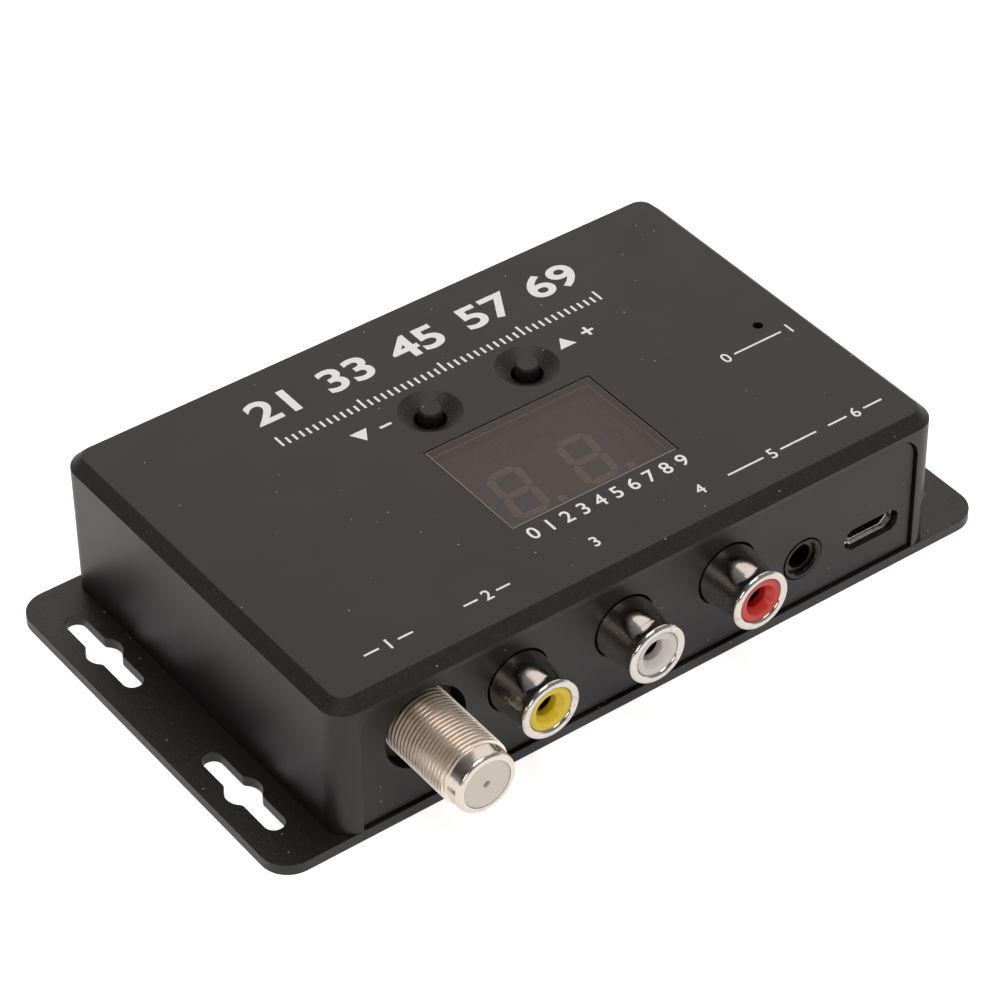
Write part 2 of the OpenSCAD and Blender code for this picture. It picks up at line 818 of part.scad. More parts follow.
// Outline of the power socket's shell: square upper corners, sloped lower ones
module power_outline(inset) {
    w = power_w / 2 - inset;
    h = power_h / 2 - inset;
    polygon([[-w, h], [w, h], [w, -h + power_bevel], [w - power_bevel, -h],
        [-w + power_bevel, -h], [-w, -h + power_bevel]]);
}

module power_socket_shell() {
    color(chrome) facing_front(power_x, power_z) translate([0, 0, -power_set - power_l])
        linear_extrude(power_l) difference() {
            power_outline(0);
            power_outline(power_shell_t);
        }
}

// Back wall of the power socket and the tongue that carries its contacts
module power_socket_tongue() {
    back_u = -power_set - power_l;
    color(chip_black) facing_front(power_x, power_z) {
        translate([0, 0, back_u]) linear_extrude(power_back_t) power_outline(power_shell_t + snug);
        translate([-power_tongue_w / 2, power_tongue_drop, back_u])
            cube([power_tongue_w, power_tongue_t, power_l - power_tongue_set]);
    }
}

module power_socket_contacts() {
    color(brass) facing_front(power_x, power_z)
        for (i = [0 : power_contacts - 1])
            translate([(i - (power_contacts - 1) / 2) * power_contact_step - power_contact_w / 2,
                power_tongue_drop - power_contact_t, -power_set - power_l + power_back_t])
                cube([power_contact_w, power_contact_t, power_l - power_back_t - 2 * power_tongue_set]);
}

// Clear rod that carries the lamp's light to the hole in the roof
module light_pipe() {
    pipe_foot = board_top + lamp_chip_h + lamp_chip_gap;
    color(clear_plastic) translate([lamp_x, lamp_y, 0]) {
        rod(lamp_d - 2 * lamp_pipe_gap, ceiling_z - snug, case_h - lamp_pipe_set);
        rod(lamp_pipe_d, pipe_foot, ceiling_z - snug);
    }
}

module power_lamp() {
    color(lamp_red) translate([lamp_x, lamp_y, 0])
        block(lamp_chip_w, lamp_chip_d, board_top, board_top + lamp_chip_h);
}

// Tinned screening box round the tuner parts, open at the top for its lid
module shield_can() {
    color(tin) translate([shield_x, shield_y, 0]) difference() {
        block(shield_w, shield_d, board_top, board_top + shield_h);
        block(shield_w - 2 * shield_t, shield_d - 2 * shield_t,
            board_top - over, board_top + shield_h + over);
    }
}

module shield_lid() {
    lid_w = shield_w + 2 * (shield_lid_t + snug);
    lid_d = shield_d + 2 * (shield_lid_t + snug);
    can_top = board_top + shield_h;
    color(tin) translate([shield_x, shield_y, 0]) difference() {
        block(lid_w, lid_d, can_top - shield_lid_skirt, can_top + shield_lid_t);
        block(shield_w + 2 * snug, shield_d + 2 * snug, can_top - shield_lid_skirt - over, can_top);
        for (i = [-1, 0, 1], j = [-1, 0, 1])
            translate([i * shield_vent_step, j * shield_vent_step, 0])
                rod(shield_vent_d, can_top - over, can_top + shield_lid_t + over);
    }
}

module controller_chip() {
    color(chip_black) translate([chip_x, chip_y, 0]) {
        block(chip_w, chip_d, board_top + lead_t, board_top + lead_t + chip_h);
        for (turn = [0, 90, 180, 270], i = [0 : leads_per_side - 1])
            rotate(turn) translate([chip_w / 2 + lead_l / 2, (i - (leads_per_side - 1) / 2) * lead_step, 0])
                block(lead_l + 2 * lead_w, lead_w, board_top, board_top + 2 * lead_t);
    }
}

module crystal() {
    color(tin) translate([crystal_x, crystal_y, board_top]) linear_extrude(crystal_h)
        rounded_rect(crystal_l, crystal_w, crystal_w / 2 - snug);
}

module capacitors() {
    groove_z = board_top + capacitor_groove_z;
    color(chip_black) for (p = capacitor_places) translate(p) {
        rod(capacitor_d, board_top, groove_z);
        rod(capacitor_d - 2 * capacitor_groove, groove_z, groove_z + capacitor_groove_h);
        rod(capacitor_d, groove_z + capacitor_groove_h, board_top + capacitor_h);
    }
}

module regulator() {
    tab_l = regulator_d * regulator_tab_share;
    color(chip_black) translate([regulator_x, regulator_y, 0]) {
        block(regulator_w, regulator_d, board_top, board_top + regulator_h);
        translate([0, regulator_d / 2, 0])
            block(regulator_w - tab_l, tab_l, board_top, board_top + lead_t);
    }
}

module inductor() {
    top_z = board_top + inductor_h;
    color(brass) translate([inductor_x, inductor_y, 0]) {
        rod(inductor_d, board_top, board_top + inductor_flange_t);
        rod(inductor_core_d, board_top, top_z);
        rod(inductor_d, top_z - inductor_flange_t, top_z);
    }
}

module chip_parts() {
    color(tin) for (row = part_rows, i = [0 : parts_per_row - 1])
        translate([row[0] + i * part_step, row[1], 0])
            block(part_l, part_w, board_top, board_top + part_h);
}

// Switch under a button: a moulded base with a round well for the plunger
module switch_base(x) {
    color(chip_black) translate([x, button_y, 0]) difference() {
        block(switch_w, switch_w, board_top, switch_cap_z);
        rod(switch_well_d, dome_z, switch_cap_z + over);
    }
}

module switch_cap(x) {
    color(tin) translate([x, button_y, 0]) difference() {
        block(switch_w, switch_w, switch_cap_z, switch_cap_z + switch_cap_t);
        rod(stem_d + 2 * run_fit, switch_cap_z - over, switch_cap_z + switch_cap_t + over);
    }
}

// Sprung disc on the floor of the switch's well
module switch_dome(x) {
    color(brass) translate([x, button_y, 0]) difference() {
        taper(dome_d, dome_d / 2, dome_z, dome_z + dome_rise);
        taper(dome_d - 2 * dome_t, dome_d / 2 - 2 * dome_t, dome_z - snug, dome_z + dome_rise - dome_t);
    }
}

// Moving button: a flanged plunger and the long stem that reaches through the cover
module button(x) {
    color(case_black) translate([x, button_y, 0]) {
        rod(plunger_d, plunger_foot_z, plunger_top_z);
        rod(stem_d, plunger_foot_z, stem_top_z - stem_edge);
        taper(stem_d, stem_d - 2 * stem_edge, stem_top_z - stem_edge, stem_top_z);
    }
}

// Four screws that clamp the base plate and the board to the cover's bosses
module case_screws() {
    color(steel) for (p = screw_places) translate(p) difference() {
        union() {
            rod(screw_head_d, snug, screw_head_h);
            rod(screw_d, screw_head_h, board_top + screw_bite - over);
        }
        translate([0, 0, -over]) cylinder(d = socket_d, h = socket_depth + over, $fn = 6);
    }
}

top_cover();
base_plate();
front_panel();
display_window();
display_body();
display_segments();
display_riser();
display_pins();
circuit_board();
coax_shell();
coax_insulator();
coax_contact();
phono_shell(phono_x[0]);  // video_jack_shell
phono_insulator(phono_x[0], plug_yellow);  // video_jack_insulator
phono_contact(phono_x[0]);  // video_jack_contact
phono_body(phono_x[0]);  // video_jack_body
phono_shell(phono_x[1]);  // audio_left_jack_shell
phono_insulator(phono_x[1], plug_white);  // audio_left_jack_insulator
phono_contact(phono_x[1]);  // audio_left_jack_contact
phono_body(phono_x[1]);  // audio_left_jack_body
phono_shell(phono_x[2]);  // audio_right_jack_shell
phono_insulator(phono_x[2], plug_red);  // audio_right_jack_insulator
phono_contact(phono_x[2]);  // audio_right_jack_contact
phono_body(phono_x[2]);  // audio_right_jack_body
sensor_socket_body();
sensor_socket_eyelet();
power_socket_shell();
power_socket_tongue();
power_socket_contacts();
light_pipe();
power_lamp();
shield_can();
shield_lid();
controller_chip();
crystal();
capacitors();
regulator();
inductor();
chip_parts();
switch_base(button_x[0]);  // down_switch_base
switch_cap(button_x[0]);  // down_switch_cap
switch_dome(button_x[0]);  // down_switch_dome
switch_base(button_x[1]);  // up_switch_base
switch_cap(button_x[1]);  // up_switch_cap
switch_dome(button_x[1]);  // up_switch_dome
case_screws();
button(button_x[0]);  // down_button
button(button_x[1]);  // up_button
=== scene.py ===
# %% [markdown]
# # A set-top modulator in black moulded plastic
#
# This lesson dresses a small electronics box for its portrait. Its solids are already made at their
# real size, one for each physical piece, so nothing here moves or resizes them. Each step says what
# a piece is on the real object, how it could be made, and why it is made the way it is.

import json
import math

import bmesh
import bpy
from mathutils import Matrix, Vector


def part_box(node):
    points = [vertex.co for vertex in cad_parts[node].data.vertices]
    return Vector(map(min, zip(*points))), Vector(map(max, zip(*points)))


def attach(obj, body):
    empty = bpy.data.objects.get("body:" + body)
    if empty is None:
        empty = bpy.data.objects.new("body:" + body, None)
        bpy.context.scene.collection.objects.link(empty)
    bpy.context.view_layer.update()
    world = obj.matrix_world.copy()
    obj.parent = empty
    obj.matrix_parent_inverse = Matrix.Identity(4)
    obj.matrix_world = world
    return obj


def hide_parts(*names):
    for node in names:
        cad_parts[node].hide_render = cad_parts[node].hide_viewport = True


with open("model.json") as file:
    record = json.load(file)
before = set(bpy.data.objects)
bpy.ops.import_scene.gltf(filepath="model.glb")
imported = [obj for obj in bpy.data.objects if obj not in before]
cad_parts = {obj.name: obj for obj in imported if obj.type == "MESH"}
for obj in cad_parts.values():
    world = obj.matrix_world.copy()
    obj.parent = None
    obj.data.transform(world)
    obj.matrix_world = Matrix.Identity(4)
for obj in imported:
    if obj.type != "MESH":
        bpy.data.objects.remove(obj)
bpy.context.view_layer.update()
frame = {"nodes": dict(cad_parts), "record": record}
MM = 0.001
node_slots = {part["node"]: part["material_slot"] for part in frame["record"]["subparts"]}

# %% [markdown]
# ## The camera
#
# The picture was taken from the left and above with a long lens, which keeps the far edges of the box
# nearly parallel to the near ones. A camera can be placed by hand or by a tracker. Here it goes round
# a target on the object by two angles and a distance, because those are the values that someone
# would want to change.

# %% Place the camera
camera_target = Vector((-0.09, 0.52, 11)) * MM
camera_azimuth = math.radians(-36.28)
camera_elevation = math.radians(39.96)
camera_distance = 506.79 * MM
camera_roll = math.radians(-0.57)
camera_lens = 140.42
camera_sensor = 36
camera_near = 10 * MM


def direction(azimuth, elevation):
    """Unit vector from the object towards a place round it. Azimuth 0 is straight in front."""
    level = math.cos(elevation)
    return Vector((math.sin(azimuth) * level, -math.cos(azimuth) * level, math.sin(elevation)))


camera_data = bpy.data.cameras.new("portrait_camera")
camera_data.lens = camera_lens
camera_data.sensor_width = camera_sensor
camera_data.clip_start = camera_near
camera = bpy.data.objects.new("portrait_camera", camera_data)
camera.location = camera_target + direction(camera_azimuth, camera_elevation) * camera_distance
look = (camera_target - camera.location).to_track_quat("-Z", "Y").to_matrix()
camera.rotation_euler = (look @ Matrix.Rotation(camera_roll, 3, "Z")).to_euler()
bpy.context.scene.collection.objects.link(camera)
bpy.context.scene.camera = camera
bpy.context.scene.view_settings.view_transform = "Standard"
print("camera at", [round(v, 3) for v in camera.location])

# %% [markdown]
# ## Helpers for node trees
#
# Materials, the world and Geometry Nodes are all node trees. Two helpers keep their code short: one
# adds a node with its settings and values, and one joins an output to an input.


# %% Add and join nodes
def add(tree, kind, settings=None, values=None):
    """A new node, with its settings by attribute name and its values by input name or number."""
    node = tree.nodes.new(kind)
    for name, value in (settings or {}).items():
        setattr(node, name, value)
    for name, value in (values or {}).items():
        node.inputs[name].default_value = value
    return node


def join(tree, source, output, target, socket):
    tree.links.new(source.outputs[output], target.inputs[socket])


def calculate(tree, operation, first, second, clamp=False):
    """A Math node. Each operand is a number or a pair of a node and the name of its output."""
    node = add(tree, "ShaderNodeMath", {"operation": operation, "use_clamp": clamp})
    for number, operand in enumerate((first, second)):
        if isinstance(operand, tuple):
            join(tree, operand[0], operand[1], node, number)
        else:
            node.inputs[number].default_value = operand
    return node, 0


print("helpers ready")

# %% [markdown]
# ## Floor and light
#
# The object stands on white paper in a light studio. Black satin plastic shows hardly any colour of
# its own: what is seen is the studio in it. The top mirrors a large soft light behind the object to
# the right, the walls mirror the white floor, and the foot of the left wall is dark because it mirrors
# the black ear. So the floor is white for reflections too, the sky is bright only near the horizon,
# and one soft light stands where the top mirrors it. From below the floor is clear, so that the
# underside can be looked at.

# %% Lay the floor
floor_half = 3.0
floor_paper = 0.86
floor_glow = 0.5
floor_bleach = 0.3
floor_gap = 0.02 * MM
floor_roughness = 0.9


def glow_for_seen_rays(tree):
    """Glow for rays from the camera, off gloss or through clear plastic, but none that lights things."""
    path = add(tree, "ShaderNodeLightPath")
    seen = calculate(tree, "ADD", (path, "Is Camera Ray"), (path, "Is Glossy Ray"), clamp=True)
    seen = calculate(tree, "ADD", seen, (path, "Is Transmission Ray"), clamp=True)
    mirrored = calculate(tree, "MULTIPLY", seen, floor_glow)
    bleached = calculate(tree, "MULTIPLY", (path, "Is Camera Ray"), floor_bleach)
    return calculate(tree, "ADD", mirrored, bleached)


floor_mesh = bpy.data.meshes.new("paper_floor")
floor_corners = [(x * floor_half, y * floor_half, -floor_gap)
                 for x, y in ((-1, -1), (1, -1), (1, 1), (-1, 1))]
floor_mesh.from_pydata(floor_corners, [], [(0, 1, 2, 3)])
floor = bpy.data.objects.new("paper_floor", floor_mesh)
bpy.context.scene.collection.objects.link(floor)
paper = bpy.data.materials.new("white_paper")
paper.use_nodes = True
paper_shader = paper.node_tree.nodes["Principled BSDF"]
paper_shader.inputs["Base Color"].default_value = (floor_paper, floor_paper, floor_paper, 1)
paper_shader.inputs["Roughness"].default_value = floor_roughness
paper_shader.inputs["Emission Color"].default_value = (1, 1, 1, 1)
join(paper.node_tree, *glow_for_seen_rays(paper.node_tree), paper_shader, "Emission Strength")
paper_side = add(paper.node_tree, "ShaderNodeNewGeometry")
from_above = calculate(paper.node_tree, "SUBTRACT", 1, (paper_side, "Backfacing"))
join(paper.node_tree, *from_above, paper_shader, "Alpha")
floor_mesh.materials.append(paper)
print("floor", 2 * floor_half, "m across")

# %% Light the sky
sky_low = 1.0
sky_high = 0.25
sky_left = 0.22
horizon = 0.1
horizon_top = 0.35
left_end = -0.9
right_end = 0.1

world = bpy.data.worlds.new("studio")
bpy.context.scene.world = world
world.use_nodes = True
sky = world.node_tree
sky_place = add(sky, "ShaderNodeTexCoord")
sky_split = add(sky, "ShaderNodeSeparateXYZ")
join(sky, sky_place, "Generated", sky_split, "Vector")
sky_fade = add(sky, "ShaderNodeMapRange", {"interpolation_type": "SMOOTHSTEP"},
               {"From Min": horizon, "From Max": horizon_top, "To Min": sky_low, "To Max": sky_high})
join(sky, sky_split, "Z", sky_fade, "Value")
sky_side = add(sky, "ShaderNodeMapRange", {"interpolation_type": "SMOOTHSTEP"},
               {"From Min": left_end, "From Max": right_end, "To Min": sky_left, "To Max": 1})
join(sky, sky_split, "X", sky_side, "Value")
sky_strength = calculate(sky, "MULTIPLY", (sky_fade, "Result"), (sky_side, "Result"))
join(sky, *sky_strength, sky.nodes["Background"], "Strength")
sky.nodes["Background"].inputs["Color"].default_value = (1, 1, 1, 1)
print("sky from", sky_low, "down to", sky_high, "and darker to the left")


# %% Hang the soft lights
def soft_light(name, azimuth, elevation, distance, size, radiance, tint=(1, 1, 1)):
    """A square soft light that faces the object. Its brightness is given as what a mirror would show."""
    lamp = bpy.data.lights.new(name, "AREA")
    lamp.shape = "SQUARE"
    lamp.size = size
    lamp.energy = radiance * math.pi * size * size
    lamp.color = tint
    lamp_object = bpy.data.objects.new(name, lamp)
    towards = direction(math.radians(azimuth), math.radians(elevation))
    lamp_object.location = towards * distance
    lamp_object.rotation_euler = (-towards).to_track_quat("-Z", "Y").to_euler()
    bpy.context.scene.collection.objects.link(lamp_object)
    return lamp_object


warm_light = (1.0, 0.88, 0.86)
back_light = soft_light("back_light", azimuth=143, elevation=41, distance=1.1, size=1.1,
                        radiance=0.82, tint=warm_light)
top_light = soft_light("top_light", azimuth=-20, elevation=84, distance=1.0, size=0.5,
                       radiance=5.5, tint=warm_light)
front_light = soft_light("front_light", azimuth=-60, elevation=25, distance=1.4, size=0.5,
                         radiance=3.0, tint=warm_light)
print("lights:", [light.name for light in (back_light, top_light, front_light)])

# %% [markdown]
# ## Effects that several finishes share
#
# Moulded plastic, printed ink and plated metal each show the same few effects at different strengths:
# a fine grain, a little dust, and fine marks from handling. Each effect is a node group with named
# inputs, built once and placed in every finish with its own values. The grain could be modelled, but
# at a tenth of a millimetre it is a matter of how light scatters, so bump is the honest choice.


# %% Make the shared groups
def new_group(name, inputs, outputs):
    """An empty shader group with float inputs and their defaults, and outputs given by socket kind."""
    group = bpy.data.node_groups.new(name, "ShaderNodeTree")
    for label, value in inputs.items():
        socket = group.interface.new_socket(label, in_out="INPUT", socket_type="NodeSocketFloat")
        socket.default_value = value
    for label, kind in outputs.items():
        group.interface.new_socket(label, in_out="OUTPUT", socket_type=kind)
    return group, add(group, "NodeGroupInput"), add(group, "NodeGroupOutput")


fleck_gain = 8
mottle_scale = 90
rub_threshold = 0.6
rub_gain = 6
bloom_scale = 420
streak_turns = ((0.5, (1, 0.06, 1)), (-0.9, (0.08, 1, 1)))


def moulding_grain():
    """Fine grain of a spark-eroded mould: flecks, a slow mottle, and the grain's slope."""
    group, given, made = new_group(
        "moulding_grain",
        {"Grains per Metre": 2500, "Relief": 0.00002, "Fleck Threshold": 0.6},
        {"Flecks": "NodeSocketFloat", "Mottle": "NodeSocketFloat", "Normal": "NodeSocketVector"})
    place = add(group, "ShaderNodeTexCoord")
    grain = add(group, "ShaderNodeTexNoise", values={"Detail": 3, "Roughness": 0.6})
    join(group, place, "Object", grain, "Vector")
    join(group, given, "Grains per Metre", grain, "Scale")
    mottle = add(group, "ShaderNodeTexNoise", values={"Scale": mottle_scale, "Detail": 3})
    join(group, place, "Object", mottle, "Vector")
    above = calculate(group, "SUBTRACT", (grain, "Fac"), (given, "Fleck Threshold"))
    flecks = calculate(group, "MULTIPLY", above, fleck_gain, clamp=True)
    bump = add(group, "ShaderNodeBump", values={"Strength": 1})
    join(group, grain, "Fac", bump, "Height")
    join(group, given, "Relief", bump, "Distance")
    join(group, *flecks, made, "Flecks")
    join(group, mottle, "Fac", made, "Mottle")
    join(group, bump, "Normal", made, "Normal")
    return group


def settled_dust():
    """Sparse pale specks: small round cells, of which only a few are kept."""
    group, given, made = new_group(
        "settled_dust", {"Cells per Metre": 900, "Speck Radius": 0.09, "Kept Share": 0.1},
        {"Dust": "NodeSocketFloat"})
    place = add(group, "ShaderNodeTexCoord")
    cells = add(group, "ShaderNodeTexVoronoi")
    join(group, place, "Object", cells, "Vector")
    join(group, given, "Cells per Metre", cells, "Scale")
    near = calculate(group, "LESS_THAN", (cells, "Distance"), (given, "Speck Radius"))
    lot = add(group, "ShaderNodeSeparateColor")
    join(group, cells, "Color", lot, "Color")
    kept = calculate(group, "LESS_THAN", (lot, "Red"), (given, "Kept Share"))
    join(group, *calculate(group, "MULTIPLY", near, kept), made, "Dust")
    return group


def plating_marks():
    """Fine rubs on plated metal: thin streaks in two directions and a cloudy bloom."""
    group, given, made = new_group(
        "plating_marks", {"Streaks per Metre": 900, "Relief": 0.000002},
        {"Rubs": "NodeSocketFloat", "Bloom": "NodeSocketFloat", "Normal": "NodeSocketVector"})
    place = add(group, "ShaderNodeTexCoord")
    layers = []
    for turn, stretch in streak_turns:
        mapping = add(group, "ShaderNodeMapping", values={"Rotation": (turn, 0, turn), "Scale": stretch})
        join(group, place, "Object", mapping, "Vector")
        streak = add(group, "ShaderNodeTexNoise", values={"Detail": 2})
        join(group, mapping, "Vector", streak, "Vector")
        join(group, given, "Streaks per Metre", streak, "Scale")
        sharp = calculate(group, "SUBTRACT", (streak, "Fac"), rub_threshold)
        layers.append(calculate(group, "MULTIPLY", sharp, rub_gain, clamp=True))
    rubs = calculate(group, "MAXIMUM", *layers)
    bloom = add(group, "ShaderNodeTexNoise", values={"Scale": bloom_scale, "Detail": 4})
    join(group, place, "Object", bloom, "Vector")
    bump = add(group, "ShaderNodeBump", values={"Strength": 1})
    join(group, *rubs, bump, "Height")
    join(group, given, "Relief", bump, "Distance")
    join(group, *rubs, made, "Rubs")
    join(group, bloom, "Fac", made, "Bloom")
    join(group, bump, "Normal", made, "Normal")
    return group


grain_group = moulding_grain()
dust_group = settled_dust()
marks_group = plating_marks()
print("groups:", [group.name for group in (grain_group, dust_group, marks_group)])

# %% [markdown]
# ## Plastics
#
# Every plastic here is the same recipe with other values: a Principled shader whose colour shifts a
# little between grain and flecks, with specks of dust on top, and whose roughness drifts slowly as it
# does on a real moulding. Each finish could be written out by itself, but then a better recipe would
# have to be copied a dozen times. Only the values differ between the satin cover, the coarser rim,
# the glossy socket and the coloured insulators.


# %% Write the plastic recipe
def shaded(hue, share):
    """The colour made lighter or darker by a share, with full alpha."""
    return tuple(channel * share for channel in hue) + (1,)


def new_material(name):
    material = bpy.data.materials.new(name)
    material.use_nodes = True
    return material, material.node_tree, material.node_tree.nodes["Principled BSDF"]


def blend_colour(tree, factor, low, high):
    """A colour between two. The second may be a pair of a node and its output, as the first may."""
    mix = add(tree, "ShaderNodeMix", {"data_type": "RGBA"})
    join(tree, *factor, mix, 0)
    for socket, colour in ((6, low), (7, high)):
        if len(colour) == 2:
            join(tree, *colour, mix, socket)
        else:
            mix.inputs[socket].default_value = colour
    return mix, 2


noise_low = 0.3
noise_high = 0.7


def drift(tree, source, low, high):
    """Maps a noise to a range of values."""
    node = add(tree, "ShaderNodeMapRange",
               values={"From Min": noise_low, "From Max": noise_high, "To Min": low, "To Max": high})
    join(tree, *source, node, "Value")
    return node, "Result"


dust_hue = (0.42, 0.4, 0.38, 1)
roughness_drift = 0.03


def moulded(name, hue, roughness, grains=2500, relief=0.02, fleck=1.25, threshold=0.6, dust=0.1, ior=1.5):
    """Moulded plastic. Relief is in millimetres, fleck is how much lighter the flecks are."""
    material, tree, shader = new_material(name)
    grain = add(tree, "ShaderNodeGroup", {"node_tree": grain_group},
                {"Grains per Metre": grains, "Relief": relief * MM, "Fleck Threshold": threshold})
    specks = add(tree, "ShaderNodeGroup", {"node_tree": dust_group}, {"Kept Share": dust})
    body = blend_colour(tree, (grain, "Flecks"), shaded(hue, 1), shaded(hue, fleck))
    dusty = blend_colour(tree, (specks, "Dust"), body, dust_hue)
    join(tree, *dusty, shader, "Base Color")
    join(tree, *drift(tree, (grain, "Mottle"), roughness - roughness_drift, roughness + roughness_drift),
         shader, "Roughness")
    join(tree, grain, "Normal", shader, "Normal")
    shader.inputs["IOR"].default_value = ior
    return material


black_hue = (0.0085, 0.0072, 0.0069)
cover_satin = moulded("cover_satin", black_hue, 0.42, grains=3200, relief=0.006)
cover_grain = moulded("cover_grain", black_hue, 0.5, grains=2600, relief=0.07, fleck=3, threshold=0.55)
ear_grain = moulded("ear_grain", black_hue, 0.4, grains=2800, relief=0.05, fleck=2.4, threshold=0.57)
panel_satin = moulded("panel_satin", black_hue, 0.4, grains=3200, relief=0.006, ior=1.45)
socket_black = moulded("socket_black", (0.008, 0.008, 0.008), 0.18, relief=0.001, dust=0.02, ior=1.38)
part_black = moulded("part_black", (0.02, 0.02, 0.02), 0.5, relief=0.01, dust=0)
plug_yellow = moulded("plug_yellow", (0.98, 0.76, 0.03), 0.26, relief=0.002, fleck=1.05, dust=0.01)
plug_white = moulded("plug_white", (0.9, 0.89, 0.87), 0.28, relief=0.002, fleck=1.02, dust=0)
plug_red = moulded("plug_red", (0.76, 0.045, 0.03), 0.26, relief=0.002, fleck=1.08, dust=0.02)
dielectric = moulded("dielectric", (0.92, 0.9, 0.78), 0.38, relief=0.003, fleck=1.04, dust=0)
segment_brown = moulded("segment_brown", (0.82, 0.64, 0.42), 0.5, relief=0.004, fleck=1.2, dust=0)
display_face = moulded("display_face", (0.03, 0.027, 0.024), 0.5, relief=0.004, dust=0)
sleeve_black = moulded("sleeve_black", (0.03, 0.03, 0.035), 0.3, relief=0.004, dust=0)
print("plastics made:", len([m for m in bpy.data.materials if m.name != "white_paper"]))

# %% [markdown]
# ## Metals
#
# The jacks are bright chrome over brass, the threaded connector is warmer nickel with a duller thread,
# and inside there are tinned sheet and brass contacts. A glossy grey plastic would be simpler, but its
# highlights would stay white, where a metal tints all that it mirrors. So all are full metals. Fine
# rubs and a cloudy bloom break the mirror as handling and plating do, and on the chrome there are a few
# specks of dust. Contacts deep in a socket and the remote socket's eyelet lie in shade, so they get a
# near-black metal: painted shade. The connector's block behind the panel gets a dark, rough metal for
# the same reason: painted shade in the gap round its barrel.


# %% Write the metal recipe
fine_cells = 2400
fine_speck = 0.13


def plated(name, hue, roughness, bloom=0.05, rub=0.8, relief=0.002, streaks=900, dust=0.0):
    """Plated metal. Bloom is how far the roughness drifts, rub how dark the rubs are. Dust isn't metal."""
    material, tree, shader = new_material(name)
    marks = add(tree, "ShaderNodeGroup", {"node_tree": marks_group},
                {"Streaks per Metre": streaks, "Relief": relief * MM})
    body = blend_colour(tree, (marks, "Rubs"), shaded(hue, 1), shaded(hue, rub))
    shader.inputs["Metallic"].default_value = 1
    if dust:
        specks = add(tree, "ShaderNodeGroup", {"node_tree": dust_group},
                     {"Kept Share": dust, "Cells per Metre": fine_cells, "Speck Radius": fine_speck})
        body = blend_colour(tree, (specks, "Dust"), body, dust_hue)
        join(tree, *calculate(tree, "SUBTRACT", 1, (specks, "Dust")), shader, "Metallic")
    join(tree, *body, shader, "Base Color")
    join(tree, *drift(tree, (marks, "Bloom"), roughness, roughness + bloom), shader, "Roughness")
    join(tree, marks, "Normal", shader, "Normal")
    return material


chrome = plated("chrome", (0.68, 0.65, 0.6), 0.08, bloom=0.08, rub=0.7, relief=0.006, streaks=1300,
                dust=0.22)
nickel = plated("nickel", (0.74, 0.68, 0.6), 0.17, bloom=0.08, rub=0.85)
thread_nickel = plated("thread_nickel", (0.92, 0.85, 0.76), 0.32, bloom=0.08, rub=0.85)
# Dark, rough metal for the connector's block behind the panel: painted shade of the deep gap round the
# barrel.
painted_shade_block = plated("painted_shade_block", (0.12, 0.11, 0.1), 0.6, bloom=0.1)
# Near-black metal for the jack contacts and the remote socket's eyelet: painted shade of their deep bores.
painted_shade_metal = plated("painted_shade_metal", (0.1, 0.075, 0.045), 0.4)
brass = plated("brass", (0.72, 0.53, 0.2), 0.25)
tinned = plated("tinned", (0.66, 0.67, 0.68), 0.34, bloom=0.12)
screw_steel = plated("screw_steel", (0.5, 0.5, 0.5), 0.3)
print("metals made")

# %% [markdown]
# ## Smoked window, light pipe, board and ink
#
# The window is tinted acrylic with the display close behind it. Glass could be traced as a solid
# block, but light has to get in to show the unlit digits, so the plate is a glossy, partly clear
# sheet: what lies behind shows faintly, and its face mirrors the studio. Ink is a thin matt layer.


# %% Write the clear and printed finishes
sheet_dust = 0.06
sheet_gloss = 0.6


def clear_sheet(name, hue, alpha, roughness):
    """A tinted sheet that lets part of what lies behind show through."""
    material, tree, shader = new_material(name)
    haze = add(tree, "ShaderNodeGroup", {"node_tree": grain_group}, {"Relief": 0})
    specks = add(tree, "ShaderNodeGroup", {"node_tree": dust_group}, {"Kept Share": sheet_dust})
    join(tree, *blend_colour(tree, (specks, "Dust"), shaded(hue, 1), dust_hue), shader, "Base Color")
    join(tree, *drift(tree, (haze, "Mottle"), roughness, roughness + roughness_drift), shader, "Roughness")
    shader.inputs["Alpha"].default_value = alpha
    shader.inputs["Specular IOR Level"].default_value = sheet_gloss
    return material


smoked = clear_sheet("smoked_acrylic", (0.09, 0.071, 0.057), 0.53, 0.14)
# Pale colour for the window's rounded edge: partly the real ground edge, partly a painted highlight, the
# thin light line that the edge catches.
ground_edge_and_highlight = moulded("ground_edge_and_highlight", (0.36, 0.34, 0.31), 0.4, relief=0.01, dust=0)
clear_rod = clear_sheet("clear_rod", (0.02, 0.02, 0.02), 0.7, 0.1)
board_mask = moulded("board_mask", (0.015, 0.12, 0.06), 0.35, grains=900, relief=0.01, fleck=1.3, dust=0)
lamp_lens = moulded("lamp_lens", (0.5, 0.08, 0.05), 0.2, relief=0.002, dust=0)
ink = moulded("white_ink", (0.9, 0.97, 0.97), 0.6, grains=4000, relief=0.004, fleck=0.9, dust=0)
print("clear and printed finishes made")

# %% Match each slot to its finish
finishes = {
    "case_plastic": cover_satin, "panel_plastic": panel_satin, "smoked_window": smoked,
    "segment_plastic": segment_brown, "black_plastic": part_black, "tinned_metal": tinned,
    "board": board_mask, "nickel": nickel, "milky_plastic": dielectric, "brass": brass,
    "chrome": chrome, "yellow_plastic": plug_yellow, "white_plastic": plug_white,
    "red_plastic": plug_red, "clear_plastic": clear_rod, "lamp": lamp_lens,
    "capacitor_sleeve": sleeve_black, "screw_steel": screw_steel,
}
